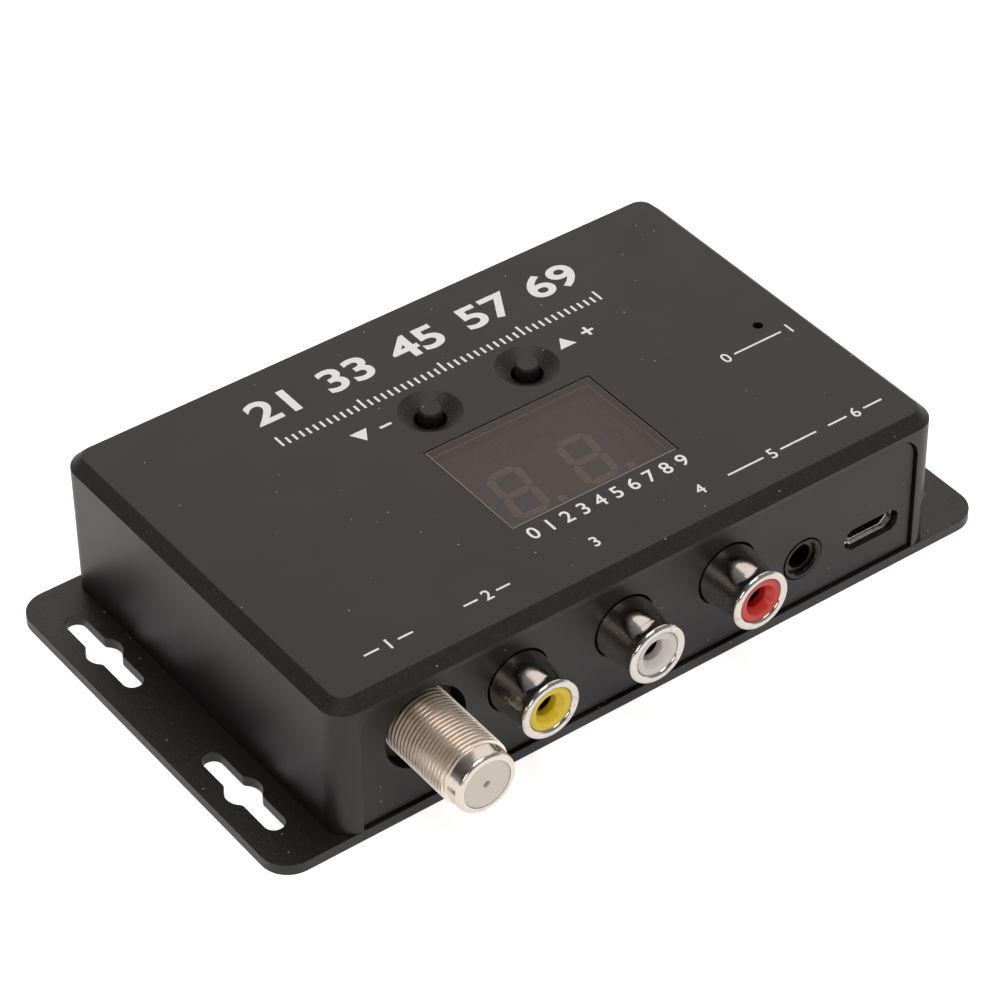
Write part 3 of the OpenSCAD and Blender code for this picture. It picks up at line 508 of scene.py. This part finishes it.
# The eyelet and the jack contacts take the near-black metal: painted shade, as they lie deep in their bores.
node_finishes = {"display_body": display_face, "sensor_socket_body": socket_black,
                 "sensor_socket_eyelet": painted_shade_metal}
for jack in ("video", "audio_left", "audio_right"):
    node_finishes[jack + "_jack_contact"] = painted_shade_metal
for name, solid in frame["nodes"].items():
    solid.data.materials.clear()
    solid.data.materials.append(node_finishes.get(name, finishes[node_slots[name]]))
print("dressed nodes:", len(frame["nodes"]))

# %% [markdown]
# ## Mouldings with soft edges
#
# A mould can't cut a knife edge: each edge of a real moulding is rounded by a fraction of a millimetre
# and catches a thin line of light. The solids have sharp edges and loose triangles. So each moulding
# that shows is copied, its triangles are sewn together and its flat faces made whole, and a Bevel
# modifier rounds the edges. The copy then stands in for the solid, in the same place. The window was
# sawn from sheet instead, so its edge is ground and pale. Its rounded edge is painted pale as well, a
# painted highlight that stands for the thin light line the edge catches.


# %% Sew and soften a solid
sharp_angle = math.radians(28)
sewing_distance = 0.002 * MM
flat_angle = math.radians(0.2)
bevel_segments = 2


def sewn_copy(node):
    """A mesh of the node with its triangles merged and its flat faces made whole."""
    mesh = frame["nodes"][node].data.copy()
    sheet = bmesh.new()
    sheet.from_mesh(mesh)
    bmesh.ops.remove_doubles(sheet, verts=sheet.verts, dist=sewing_distance)
    bmesh.ops.dissolve_limit(sheet, angle_limit=flat_angle, verts=sheet.verts, edges=sheet.edges)
    for face in sheet.faces:
        face.smooth = True
    for edge in sheet.edges:
        edge.smooth = not edge.is_manifold or edge.calc_face_angle() < sharp_angle
    sheet.to_mesh(mesh)
    sheet.free()
    return mesh


def show(mesh, name, body, replaced=()):
    """Puts a finished mesh on its body and the nodes that it stands for."""
    piece = bpy.data.objects.new(name, mesh)
    bpy.context.scene.collection.objects.link(piece)
    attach(piece, body)
    if replaced:
        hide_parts(*replaced)
    return piece


def soften(node, name, width, body="case", finish=None):
    """Shows a sewn copy of a node with rounded edges in the node's place."""
    mesh = sewn_copy(node)
    if finish:
        mesh.materials.clear()
        mesh.materials.append(finish)
    piece = show(mesh, name, body, [node])
    bevel = piece.modifiers.new("rounded_edges", "BEVEL")
    bevel.width = width * MM
    bevel.segments = bevel_segments
    bevel.limit_method = "ANGLE"
    bevel.angle_limit = sharp_angle
    bevel.harden_normals = True
    return piece


cover = soften("top_cover", "cover_moulding", 0.18)
base = soften("base_plate", "base_moulding", 0.2, finish=ear_grain)
panel = soften("front_panel", "panel_moulding", 0.12)
window = soften("display_window", "window_plate", 0.1)
# The rounded edge takes the pale colour: ground edge and painted highlight.
window.data.materials.append(ground_edge_and_highlight)
window.modifiers["rounded_edges"].material = 1
for piece in (cover, base, panel, window):
    print(piece.name, "faces before rounding:", len(piece.data.polygons))

# %% [markdown]
# The rim and the button wells were left coarser in the mould than the flat top, so they sparkle
# where the top is satin. The rim's faces are found by their slope, because they are the only ones
# on the cover that are neither level nor upright.

# %% Give the rim and wells their coarser grain
level_limit = 0.97
upright_limit = 0.3
cover.data.materials.append(cover_grain)
grained = [face for face in cover.data.polygons if upright_limit < face.normal.z < level_limit]
for face in grained:
    face.material_index = 1
print("grained faces:", len(grained))

# %% [markdown]
# ## The threaded barrel
#
# The coaxial connector is turned brass with a rolled 3/8 inch thread and a nickel plate. A thread is a
# profile that climbs a helix, so Geometry Nodes make it: a spiral is the path, a trapezoid is the
# profile, and the profile is made smaller at both ends, as a die leaves it. The barrel inside it, the
# plain nose and the block behind the panel are one turned piece.

# %% Take the connector's place from its solids
coax_low, coax_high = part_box("coax_shell")
coax_axis = Vector(((coax_low.x + coax_high.x) / 2, 0, sum(v.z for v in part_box("coax_insulator")) / 2))
coax_face_y = coax_low.y
coax_back_y = coax_high.y
coax_block_l = 7.6 * MM
coax_crest_r = 4.7625 * MM
coax_thread_depth = 0.36 * MM
coax_root_r = coax_crest_r - coax_thread_depth
coax_nose_r = 4.35 * MM
coax_nose_l = 2.0 * MM
coax_mouth_r = 3.95 * MM
coax_bore_r = 3.45 * MM
thread_start_y = coax_back_y - coax_block_l
thread_end_y = coax_face_y + coax_nose_l
print("thread length in mm:", round((thread_start_y - thread_end_y) / MM, 2))


# %% Write the turning helper
turning_steps = 96
mirror_steps = 128
merging_distance = 0.0005 * MM


def arc(centre, radius, start, end, steps):
    """Points along an arc, from one angle in degrees to another."""
    angles = [math.radians(start + (end - start) * step / steps) for step in range(steps + 1)]
    return [(centre[0] + radius * math.cos(a), centre[1] + radius * math.sin(a)) for a in angles]


def turned(name, profile, axis, steps=turning_steps):
    """A mesh turned about a line along Y. The profile is closed, with points (radius, y)."""
    lathe = bmesh.new()
    ring = [lathe.verts.new((axis.x + radius, y, axis.z)) for radius, y in profile]
    edges = [lathe.edges.new((ring[i - 1], ring[i])) for i in range(len(ring))]
    bmesh.ops.spin(lathe, geom=ring + edges, cent=axis, axis=(0, 1, 0), angle=math.tau,
                   steps=steps, use_merge=True)
    bmesh.ops.remove_doubles(lathe, verts=lathe.verts, dist=merging_distance)
    bmesh.ops.recalc_face_normals(lathe, faces=lathe.faces)
    for face in lathe.faces:
        face.smooth = True
    for edge in lathe.edges:
        edge.smooth = edge.calc_face_angle(0) < sharp_angle
    mesh = bpy.data.meshes.new(name)
    lathe.to_mesh(mesh)
    lathe.free()
    return mesh


print("lathe ready")

# %% Build the thread's node tree
crest_share = 0.34
base_share = 0.96
crest_tilt = -math.pi / 2
thinnest_share = 0.05


def thread_tree():
    """Geometry Nodes that climb a helix with a trapezoid profile."""
    tree = bpy.data.node_groups.new("rolled_thread", "GeometryNodeTree")
    for label, kind in (("Root Radius", "Float"), ("Pitch", "Float"), ("Turns", "Float"),
                        ("Depth", "Float"), ("Steps per Turn", "Int"), ("Metal", "Material")):
        tree.interface.new_socket(label, in_out="INPUT", socket_type="NodeSocket" + kind)
    tree.interface.new_socket("Geometry", in_out="OUTPUT", socket_type="NodeSocketGeometry")
    given = add(tree, "NodeGroupInput")
    made = add(tree, "NodeGroupOutput")
    climb = calculate(tree, "MULTIPLY", (given, "Pitch"), (given, "Turns"))
    helix = add(tree, "GeometryNodeCurveSpiral")
    join(tree, given, "Steps per Turn", helix, "Resolution")
    join(tree, given, "Turns", helix, "Rotations")
    join(tree, given, "Root Radius", helix, "Start Radius")
    join(tree, given, "Root Radius", helix, "End Radius")
    join(tree, *climb, helix, "Height")
    helix.inputs["Reverse"].default_value = True
    level = add(tree, "GeometryNodeSetCurveNormal", {"mode": "Z_UP"})
    join(tree, helix, "Curve", level, "Curve")
    outward = add(tree, "GeometryNodeSetCurveTilt", values={"Tilt": crest_tilt})
    join(tree, level, "Curve", outward, "Curve")
    profile = add(tree, "GeometryNodeCurvePrimitiveQuadrilateral", {"mode": "TRAPEZOID"}, {"Offset": 0})
    join(tree, *calculate(tree, "MULTIPLY", (given, "Pitch"), base_share), profile, "Bottom Width")
    join(tree, *calculate(tree, "MULTIPLY", (given, "Pitch"), crest_share), profile, "Top Width")
    join(tree, *calculate(tree, "MULTIPLY", (given, "Depth"), 2), profile, "Height")
    along = add(tree, "GeometryNodeSplineParameter")
    from_end = calculate(tree, "SUBTRACT", 1, (along, "Factor"))
    nearest = calculate(tree, "MINIMUM", (along, "Factor"), from_end)
    run_out = calculate(tree, "MULTIPLY", nearest, (given, "Turns"))
    taper = calculate(tree, "MAXIMUM", calculate(tree, "MINIMUM", run_out, 1), thinnest_share)
    sweep = add(tree, "GeometryNodeCurveToMesh", values={"Fill Caps": True})
    join(tree, outward, "Curve", sweep, "Curve")
    join(tree, profile, "Curve", sweep, "Profile Curve")
    join(tree, *taper, sweep, "Scale")
    whole = add(tree, "GeometryNodeRealizeInstances")
    join(tree, sweep, "Mesh", whole, "Geometry")
    coat = add(tree, "GeometryNodeSetMaterial")
    join(tree, whole, "Geometry", coat, "Geometry")
    join(tree, given, "Metal", coat, "Material")
    join(tree, coat, "Geometry", made, "Geometry")
    return tree


def grow(tree, values):
    """The mesh that a Geometry Nodes tree makes from its named values."""
    holder = bpy.data.objects.new("holder", bpy.data.meshes.new("holder"))
    bpy.context.scene.collection.objects.link(holder)
    modifier = holder.modifiers.new("tree", "NODES")
    modifier.node_group = tree
    for item in tree.interface.items_tree:
        if item.in_out == "INPUT" and item.name in values:
            modifier[item.identifier] = values[item.name]
    seen = holder.evaluated_get(bpy.context.evaluated_depsgraph_get())
    mesh = bpy.data.meshes.new_from_object(seen)
    holder.modifiers.remove(modifier)
    bpy.data.objects.remove(holder)
    return mesh


thread_turns = 21
thread_steps = 112
thread_run = thread_start_y - thread_end_y
thread = grow(thread_tree(), {
    "Root Radius": coax_root_r, "Pitch": thread_run / thread_turns, "Turns": thread_turns,
    "Depth": coax_thread_depth, "Steps per Turn": thread_steps, "Metal": thread_nickel})
print("thread:", len(thread.vertices), "points, widest",
      round(max(math.hypot(v.co.x, v.co.y) for v in thread.vertices) / MM, 3), "mm from its axis")

# %% Turn the barrel and put the connector together
coax_block_inset = 0.05 * MM
nose_rounding = 0.7 * MM
nose_steps = 8
nose_bevel = 0.25 * MM
barrel_profile = [(coax_bore_r, coax_face_y), (coax_mouth_r, coax_face_y)]
for step in range(1, nose_steps + 1):
    turn = math.radians(90 * step / nose_steps)
    barrel_profile.append((coax_mouth_r + (coax_nose_r - coax_mouth_r) * math.sin(turn),
                           coax_face_y + nose_rounding * (1 - math.cos(turn))))
barrel_profile += [(coax_nose_r, thread_end_y - nose_bevel), (coax_root_r, thread_end_y),
                   (coax_root_r, thread_start_y + coax_block_inset),
                   (coax_bore_r, thread_start_y + coax_block_inset)]
barrel = turned("barrel", barrel_profile, coax_axis)


def join_meshes(name, meshes):
    """One mesh from several, each with its own finish kept."""
    whole = bmesh.new()
    finished = bpy.data.meshes.new(name)
    coats = []
    for mesh in meshes:
        start = len(whole.faces)
        whole.from_mesh(mesh)
        whole.faces.ensure_lookup_table()
        coat = mesh.materials[0]
        if coat not in coats:
            coats.append(coat)
            finished.materials.append(coat)
        for face in whole.faces[start:]:
            face.material_index = coats.index(coat)
    whole.to_mesh(finished)
    whole.free()
    return finished


def rear_block():
    """The connector's solid with its plain barrel cut off in front of the block."""
    mesh = sewn_copy("coax_shell")
    sheet = bmesh.new()
    sheet.from_mesh(mesh)
    cut_y = thread_start_y - coax_block_inset
    cut = bmesh.ops.bisect_plane(sheet, geom=sheet.verts[:] + sheet.edges[:] + sheet.faces[:],
                                 plane_co=(0, cut_y, 0), plane_no=(0, -1, 0), clear_outer=True)
    rim = [item for item in cut["geom_cut"] if isinstance(item, bmesh.types.BMEdge)]
    bmesh.ops.triangle_fill(sheet, use_beauty=True, edges=rim)
    bmesh.ops.recalc_face_normals(sheet, faces=sheet.faces)
    sheet.to_mesh(mesh)
    sheet.free()
    return mesh


thread.transform(Matrix.Translation((coax_axis.x, thread_start_y, coax_axis.z))
                 @ Matrix.Rotation(math.pi / 2, 4, "X"))
thread_sheet = bmesh.new()
thread_sheet.from_mesh(thread)
for face in thread_sheet.faces:
    face.smooth = True
for edge in thread_sheet.edges:
    edge.smooth = edge.calc_face_angle(0) < sharp_angle
thread_sheet.to_mesh(thread)
thread_sheet.free()
block = rear_block()
# The block takes the dark metal: painted shade in the gap behind the panel.
for mesh, coat in ((barrel, nickel), (block, painted_shade_block)):
    mesh.materials.clear()
    mesh.materials.append(coat)
coax = show(join_meshes("coax_barrel", [barrel, block, thread]), "coax_barrel", "case",
            ["coax_shell"])
print("connector faces:", len(coax.data.polygons))

# %% [markdown]
# ## Phono jacks
#
# Each jack is a drawn metal sleeve with a rolled rim, pressed over a coloured plastic insulator with
# a flat ring round a dished mouth. They could be made by hand from rings of points, but both are
# round, so both are turned from a profile. The solids have the sleeve's profile in coarse steps,
# which a mirror finish would show, so the sleeves are turned again with fine ones.

# %% Turn the sleeves and insulators
phono_face_set = 0.35 * MM
phono_inner_r = 3.15 * MM
phono_lip_r = 0.575 * MM
phono_rim_r = 4.3 * MM
phono_neck_r = 3.9 * MM
phono_root_r = 4.45 * MM
phono_neck_l = 1.5 * MM
phono_flange_r = 5 * MM
phono_flange_t = 0.8 * MM
phono_bore_r = 1.6 * MM
phono_shoulder_r = 2.9 * MM
phono_mouth_l = 1.5 * MM
phono_guide_l = 0.6 * MM
phono_ring_r = 2.35 * MM
phono_dish_l = 1.0 * MM
phono_contact_r = 2.07 * MM
snug = 0.02 * MM
neck_step = 6
lip_steps = 20
crown_steps = 6
panel_face_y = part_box("front_panel")[0].y
panel_back_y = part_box("front_panel")[1].y


def phono_sleeve(name, axis, face_y):
    """The sleeve: flange, tapered barrel, narrow neck and rolled rim."""
    lip_y = face_y + phono_lip_r
    neck_y = lip_y + phono_neck_l
    flange_y = panel_back_y + snug
    neck = [(phono_neck_r + (phono_rim_r - phono_neck_r) * (1 - math.cos(math.radians(a))),
             neck_y - phono_neck_l * math.sin(math.radians(a))) for a in range(0, 90, neck_step)]
    lip = [(r, lip_y - (y - lip_y)) for r, y in
           arc((phono_rim_r - phono_lip_r, lip_y), phono_lip_r, 0, 180, lip_steps)]
    profile = [(phono_inner_r, flange_y + phono_flange_t), (phono_flange_r, flange_y + phono_flange_t),
               (phono_flange_r, flange_y), (phono_root_r, flange_y), (phono_root_r, panel_face_y)]
    return turned(name, profile + neck + lip, axis, mirror_steps)


def phono_plug(name, axis, face_y):
    """The insulator: rounded edge, flat ring, dished mouth and centre bore."""
    outer_r = phono_inner_r - snug
    front_y = face_y + phono_face_set
    mouth_y = front_y + phono_mouth_l
    guide_y = mouth_y + phono_guide_l
    back_y = panel_back_y + snug + phono_flange_t
    edge = (outer_r - phono_shoulder_r) / 2
    crown = [(r, front_y + edge - (y - front_y - edge)) for r, y in
             arc((phono_shoulder_r + edge, front_y + edge), edge, 0, 90, crown_steps)]
    dish_y = front_y + phono_dish_l
    profile = [(outer_r, back_y)] + crown + [
        (phono_ring_r, front_y + edge / 2), (phono_ring_r - edge, front_y + edge),
        (phono_bore_r + edge / 2, dish_y), (phono_bore_r, dish_y + edge / 2), (phono_bore_r, mouth_y),
        (phono_bore_r, guide_y), (phono_contact_r, guide_y), (phono_contact_r, back_y)]
    return turned(name, profile, axis)


for jack, coat in (("video", plug_yellow), ("audio_left", plug_white), ("audio_right", plug_red)):
    low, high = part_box(jack + "_jack_shell")
    jack_axis = Vector(((low.x + high.x) / 2, 0, (low.z + high.z) / 2))
    sleeve = phono_sleeve(jack + "_sleeve", jack_axis, low.y)
    sleeve.materials.append(chrome)
    show(sleeve, jack + "_sleeve", "case", [jack + "_jack_shell"])
    plug = phono_plug(jack + "_plug", jack_axis, low.y)
    plug.materials.append(coat)
    show(plug, jack + "_plug", "case", [jack + "_jack_insulator"])
    print(jack, "jack at x", round(jack_axis.x / MM, 2), "rim face at y", round(low.y / MM, 2))

# %% [markdown]
# ## Small sockets and buttons
#
# The remote socket is a glossy nose with a metal eyelet down its bore, the power socket is a folded
# metal shell, and the two buttons are plain stems that end just above the roof. Their solids have the
# right shape, so they only get the soft edges that a mould or a fold leaves. The stems ride on their
# own bodies, because they move.

# %% Soften the small parts
soften("sensor_socket_body", "sensor_nose", 0.15, finish=socket_black)
soften("power_socket_shell", "power_shell", 0.06)
soften("coax_insulator", "coax_dielectric", 0.12)
soften("down_button", "down_stem", 0.22, "down_button", cover_grain)
soften("up_button", "up_stem", 0.22, "up_button", cover_grain)
print("small parts softened")

# %% [markdown]
# ## The power socket's lip
#
# The power socket is folded from thin sheet, and its mouth flares so that a plug finds its way in.
# A Solidify modifier could thicken an open band, but the band has sloped corners and two flares, so
# four rings of corners are set out by their insets and joined with faces into one closed lip.

# %% Flare the mouth of the power socket
lip_flare = 0.33 * MM
lip_sheet = 0.22 * MM
lip_reach = 0.55 * MM
power_corner = 0.9 * MM
power_low, power_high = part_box("power_socket_shell")
power_centre = (power_low + power_high) / 2


def socket_outline(inset, y):
    """The socket's outline, set in or out: square above, with sloped corners below."""
    half_w = (power_high.x - power_low.x) / 2 - inset
    half_h = (power_high.z - power_low.z) / 2 - inset
    corners = [(-half_w, half_h), (half_w, half_h), (half_w, power_corner - half_h),
               (half_w - power_corner, -half_h), (power_corner - half_w, -half_h),
               (-half_w, power_corner - half_h)]
    return [(power_centre.x + x, y, power_centre.z + z) for x, z in corners]


lip = bmesh.new()
lip_rings = [[lip.verts.new(corner) for corner in socket_outline(inset, y)] for inset, y in (
    (lip_sheet, power_low.y), (lip_sheet - lip_flare, power_low.y - lip_reach),
    (-lip_flare, power_low.y - lip_reach), (0, power_low.y))]
for ring, following in zip(lip_rings, lip_rings[1:] + lip_rings[:1]):
    for i in range(len(ring)):
        lip.faces.new((ring[i - 1], ring[i], following[i], following[i - 1]))
bmesh.ops.recalc_face_normals(lip, faces=lip.faces)
lip_mesh = bpy.data.meshes.new("power_lip")
lip.to_mesh(lip_mesh)
lip.free()
lip_mesh.materials.append(chrome)
show(lip_mesh, "power_lip", "case")
print("lip faces:", len(lip_mesh.polygons))

# %% [markdown]
# ## Printing on the roof
#
# The roof is printed in white ink: a row of big numbers with a ruled scale below it, signs beside the
# buttons, and small numbers for the window, the sockets and the lamp. Ink could be painted by a mask
# in the cover's material, but its edges would blur. Ink is a film, so each mark is a closed plate of
# 0.02 mm that stands on the roof.

# %% Write the ink helpers
ink_thickness = 0.02 * MM
roof_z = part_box("top_cover")[1].z
sketch = bmesh.new()


def print_outline(points):
    """A closed plate of ink from an outline in millimetres, counterclockwise from above."""
    rings = [[sketch.verts.new((x * MM, y * MM, z)) for x, y in points]
             for z in (roof_z, roof_z + ink_thickness)]
    sketch.faces.new(rings[0][::-1])
    sketch.faces.new(rings[1])
    for i in range(len(points)):
        sketch.faces.new((rings[0][i - 1], rings[0][i], rings[1][i], rings[1][i - 1]))


def print_bar(x0, x1, y, width):
    half = width / 2
    print_outline([(x0, y - half), (x1, y - half), (x1, y + half), (x0, y + half)])


def digit_mesh(text, weight):
    curve = bpy.data.curves.new("digits", "FONT")
    curve.body = text
    curve.align_x = "CENTER"
    curve.offset = weight
    curve.extrude = 0.5
    curve.resolution_u = 6
    holder = bpy.data.objects.new("digits", curve)
    bpy.context.scene.collection.objects.link(holder)
    mesh = bpy.data.meshes.new_from_object(holder.evaluated_get(bpy.context.evaluated_depsgraph_get()))
    bpy.data.objects.remove(holder)
    return mesh


digit_height = max(v.co.y for v in digit_mesh("0", 0).vertices)


def four_outlines(weight):
    """A 4 as foot, cross stroke, stem and slant. The typeface's own 4 closes up when it is thickened."""
    slant_x, slant_y, counter_x, slope = -0.239, 0.269, -0.108, 1.225
    left, stem_left, stem_right, right = slant_x - weight, 0.05 - weight, 0.148 + weight, 0.221 + weight
    foot, bar_foot, bar_top, top = -weight, 0.224 - weight, 0.312 + weight, 0.691 + weight
    lean = weight * math.hypot(1, slope) / slope

    def outer_x(y):
        return slant_x - lean + (y - slant_y) / slope

    def outer_y(x):
        return slant_y + (x - slant_x + lean) * slope

    inner_x = counter_x + lean + weight / slope
    inner_y = bar_top + (stem_left - inner_x) * slope
    meeting = (outer_x(bar_top), bar_top)
    shoulder = (stem_left, outer_y(stem_left))
    return (((stem_left, foot), (stem_right, foot), (stem_right, bar_foot), (stem_left, bar_foot)),
            ((left, bar_foot), (right, bar_foot), (right, bar_top), meeting, (left, outer_y(left))),
            ((stem_left, bar_top), (stem_right, bar_top), (stem_right, top), (outer_x(top), top), shoulder),
            (meeting, (inner_x, bar_top), (stem_left, inner_y), shoulder))


def print_number(text, x, y, height, weight=0.0, widen=1.0):
    """Prints digits whose foot is at y, centred on x. Weight thickens the strokes, widen stretches them."""
    if text == "4":
        size = height / digit_height
        for outline in four_outlines(weight):
            print_outline([(x + across * size * widen, y + up * size) for across, up in outline])
        return
    mesh = digit_mesh(text, weight)
    scale = height * MM / digit_height
    mesh.transform(Matrix.Translation((x * MM, y * MM, roof_z + ink_thickness / 2))
                   @ Matrix.Diagonal((scale * widen, scale, ink_thickness, 1)))
    sketch.from_mesh(mesh)


print("digit height at size 1:", round(digit_height, 3))

# %% Print the marks
big_row_foot = 19.35
big_height = 4.6
big_weight = 0.022
big_widen = 1.22
small_weight = 0.01
sign_width = 0.42
rule_width = 0.3
big_numbers = (("21", -20.3), ("33", -9.2), ("4", 0.0), ("5", 4.0), ("57", 13.2), ("69", 24.2))
for number, centre in big_numbers:
    print_number(number, centre, big_row_foot, big_height, big_weight, big_widen)
sign_y = 9.85
print_outline([(-16.2, sign_y + 1.1), (-14.9, sign_y - 1.1), (-13.6, sign_y + 1.1)])
print_bar(-12.2, -10.4, sign_y, sign_width)
print_outline([(16.2, sign_y - 1.0), (18.8, sign_y - 1.0), (17.5, sign_y + 1.1)])
plus_x = 21.4
plus_y = sign_y + 0.15
plus_arm = 0.95
plus_stub = plus_arm - sign_width / 2
half_width = sign_width / 2
print_bar(plus_x - plus_arm, plus_x + plus_arm, plus_y, sign_width)
for low in (plus_y - plus_arm, plus_y + half_width):
    print_outline([(plus_x - half_width, low), (plus_x + half_width, low),
                   (plus_x + half_width, low + plus_stub), (plus_x - half_width, low + plus_stub)])
digit_row_foot = -19.6
digit_row_start = -9.0
digit_pitch = 2.62
digit_size = 2.15
for digit in range(10):
    print_number(str(digit), digit_row_start + digit * digit_pitch, digit_row_foot, digit_size, small_weight)
socket_row_foot = -25.3
row_height = 1.8
rule_lift = row_height / 2
rule_gap = 1.4
for number, x, start, end in (("1", -35.2, -38.8, -31.6), ("2", -20.5, -24, -17.0),
                              ("5", 24.5, 17.3, 31.8), ("6", 38.3, 33.8, 42.8)):
    print_number(number, x, socket_row_foot, row_height, small_weight)
    print_bar(start, x - rule_gap, socket_row_foot + rule_lift, rule_width)
    print_bar(x + rule_gap, end, socket_row_foot + rule_lift, rule_width)
print_number("3", -3.9, socket_row_foot, row_height, small_weight)
print_number("4", 12.8, socket_row_foot, row_height, small_weight)
lamp_row_foot = -6.5
print_number("0", 32.3, lamp_row_foot, row_height, small_weight)
print_bar(33.7, 41.6, lamp_row_foot + rule_lift, rule_width)
print_number("1", 43.0, lamp_row_foot, row_height, small_weight)
marks = bpy.data.meshes.new("roof_marks")
bmesh.ops.recalc_face_normals(sketch, faces=sketch.faces)
sketch.to_mesh(marks)
sketch.free()
marks.materials.append(ink)
show(marks, "roof_marks", "case")
print("mark faces:", len(marks.polygons))

# %% [markdown]
# The scale below the big numbers has a tick for each channel and a longer one for each twelfth. An
# Array modifier could repeat one tick, but not make each twelfth longer. Geometry Nodes set out a row
# of points, choose each tick's length by its place in the row, and put a unit cube of that length
# on each point.


# %% Rule the scale
def scale_tree():
    """Geometry Nodes that set out ticks in a row, each nth one long."""
    tree = bpy.data.node_groups.new("ruled_scale", "GeometryNodeTree")
    for label, kind in (("Ticks", "Int"), ("Step", "Float"), ("Long Each", "Int"), ("Short", "Float"),
                        ("Long", "Float"), ("Width", "Float"), ("Thickness", "Float"),
                        ("Ink", "Material")):
        tree.interface.new_socket(label, in_out="INPUT", socket_type="NodeSocket" + kind)
    tree.interface.new_socket("Geometry", in_out="OUTPUT", socket_type="NodeSocketGeometry")
    given = add(tree, "NodeGroupInput")
    made = add(tree, "NodeGroupOutput")
    offset = add(tree, "ShaderNodeCombineXYZ")
    join(tree, given, "Step", offset, "X")
    row = add(tree, "GeometryNodeMeshLine", {"mode": "OFFSET"})
    join(tree, given, "Ticks", row, "Count")
    join(tree, offset, "Vector", row, "Offset")
    place = add(tree, "GeometryNodeInputIndex")
    left = calculate(tree, "MODULO", (place, "Index"), (given, "Long Each"))
    short = calculate(tree, "GREATER_THAN", left, 0.5)
    length = add(tree, "ShaderNodeMapRange")
    join(tree, *short, length, "Value")
    join(tree, given, "Long", length, "To Min")
    join(tree, given, "Short", length, "To Max")
    size = add(tree, "ShaderNodeCombineXYZ")
    join(tree, given, "Width", size, "X")
    join(tree, length, "Result", size, "Y")
    join(tree, given, "Thickness", size, "Z")
    tick = add(tree, "GeometryNodeMeshCube", values={"Size": (1, 1, 1)})
    stand = add(tree, "GeometryNodeTransform", values={"Translation": (0, 0.5, 0)})
    join(tree, tick, "Mesh", stand, "Geometry")
    ticks = add(tree, "GeometryNodeInstanceOnPoints")
    join(tree, row, "Mesh", ticks, "Points")
    join(tree, stand, "Geometry", ticks, "Instance")
    join(tree, size, "Vector", ticks, "Scale")
    whole = add(tree, "GeometryNodeRealizeInstances")
    join(tree, ticks, "Instances", whole, "Geometry")
    coat = add(tree, "GeometryNodeSetMaterial")
    join(tree, whole, "Geometry", coat, "Geometry")
    join(tree, given, "Ink", coat, "Material")
    join(tree, coat, "Geometry", made, "Geometry")
    return tree


scale_ticks = 49
scale_start = -24.0
scale_end = 27.2
scale_foot = 14.3
scale_step = (scale_end - scale_start) / (scale_ticks - 1)
scale = grow(scale_tree(), {
    "Ticks": scale_ticks, "Step": scale_step * MM, "Long Each": 12, "Short": 1.3 * MM, "Long": 2.1 * MM,
    "Width": 0.34 * MM, "Thickness": ink_thickness, "Ink": ink})
scale.transform(Matrix.Translation((scale_start * MM, scale_foot * MM, roof_z + ink_thickness / 2)))
show(scale, "roof_scale", "case")
print("scale:", len(scale.polygons) // 6, "ticks, step", round(scale_step, 3), "mm")
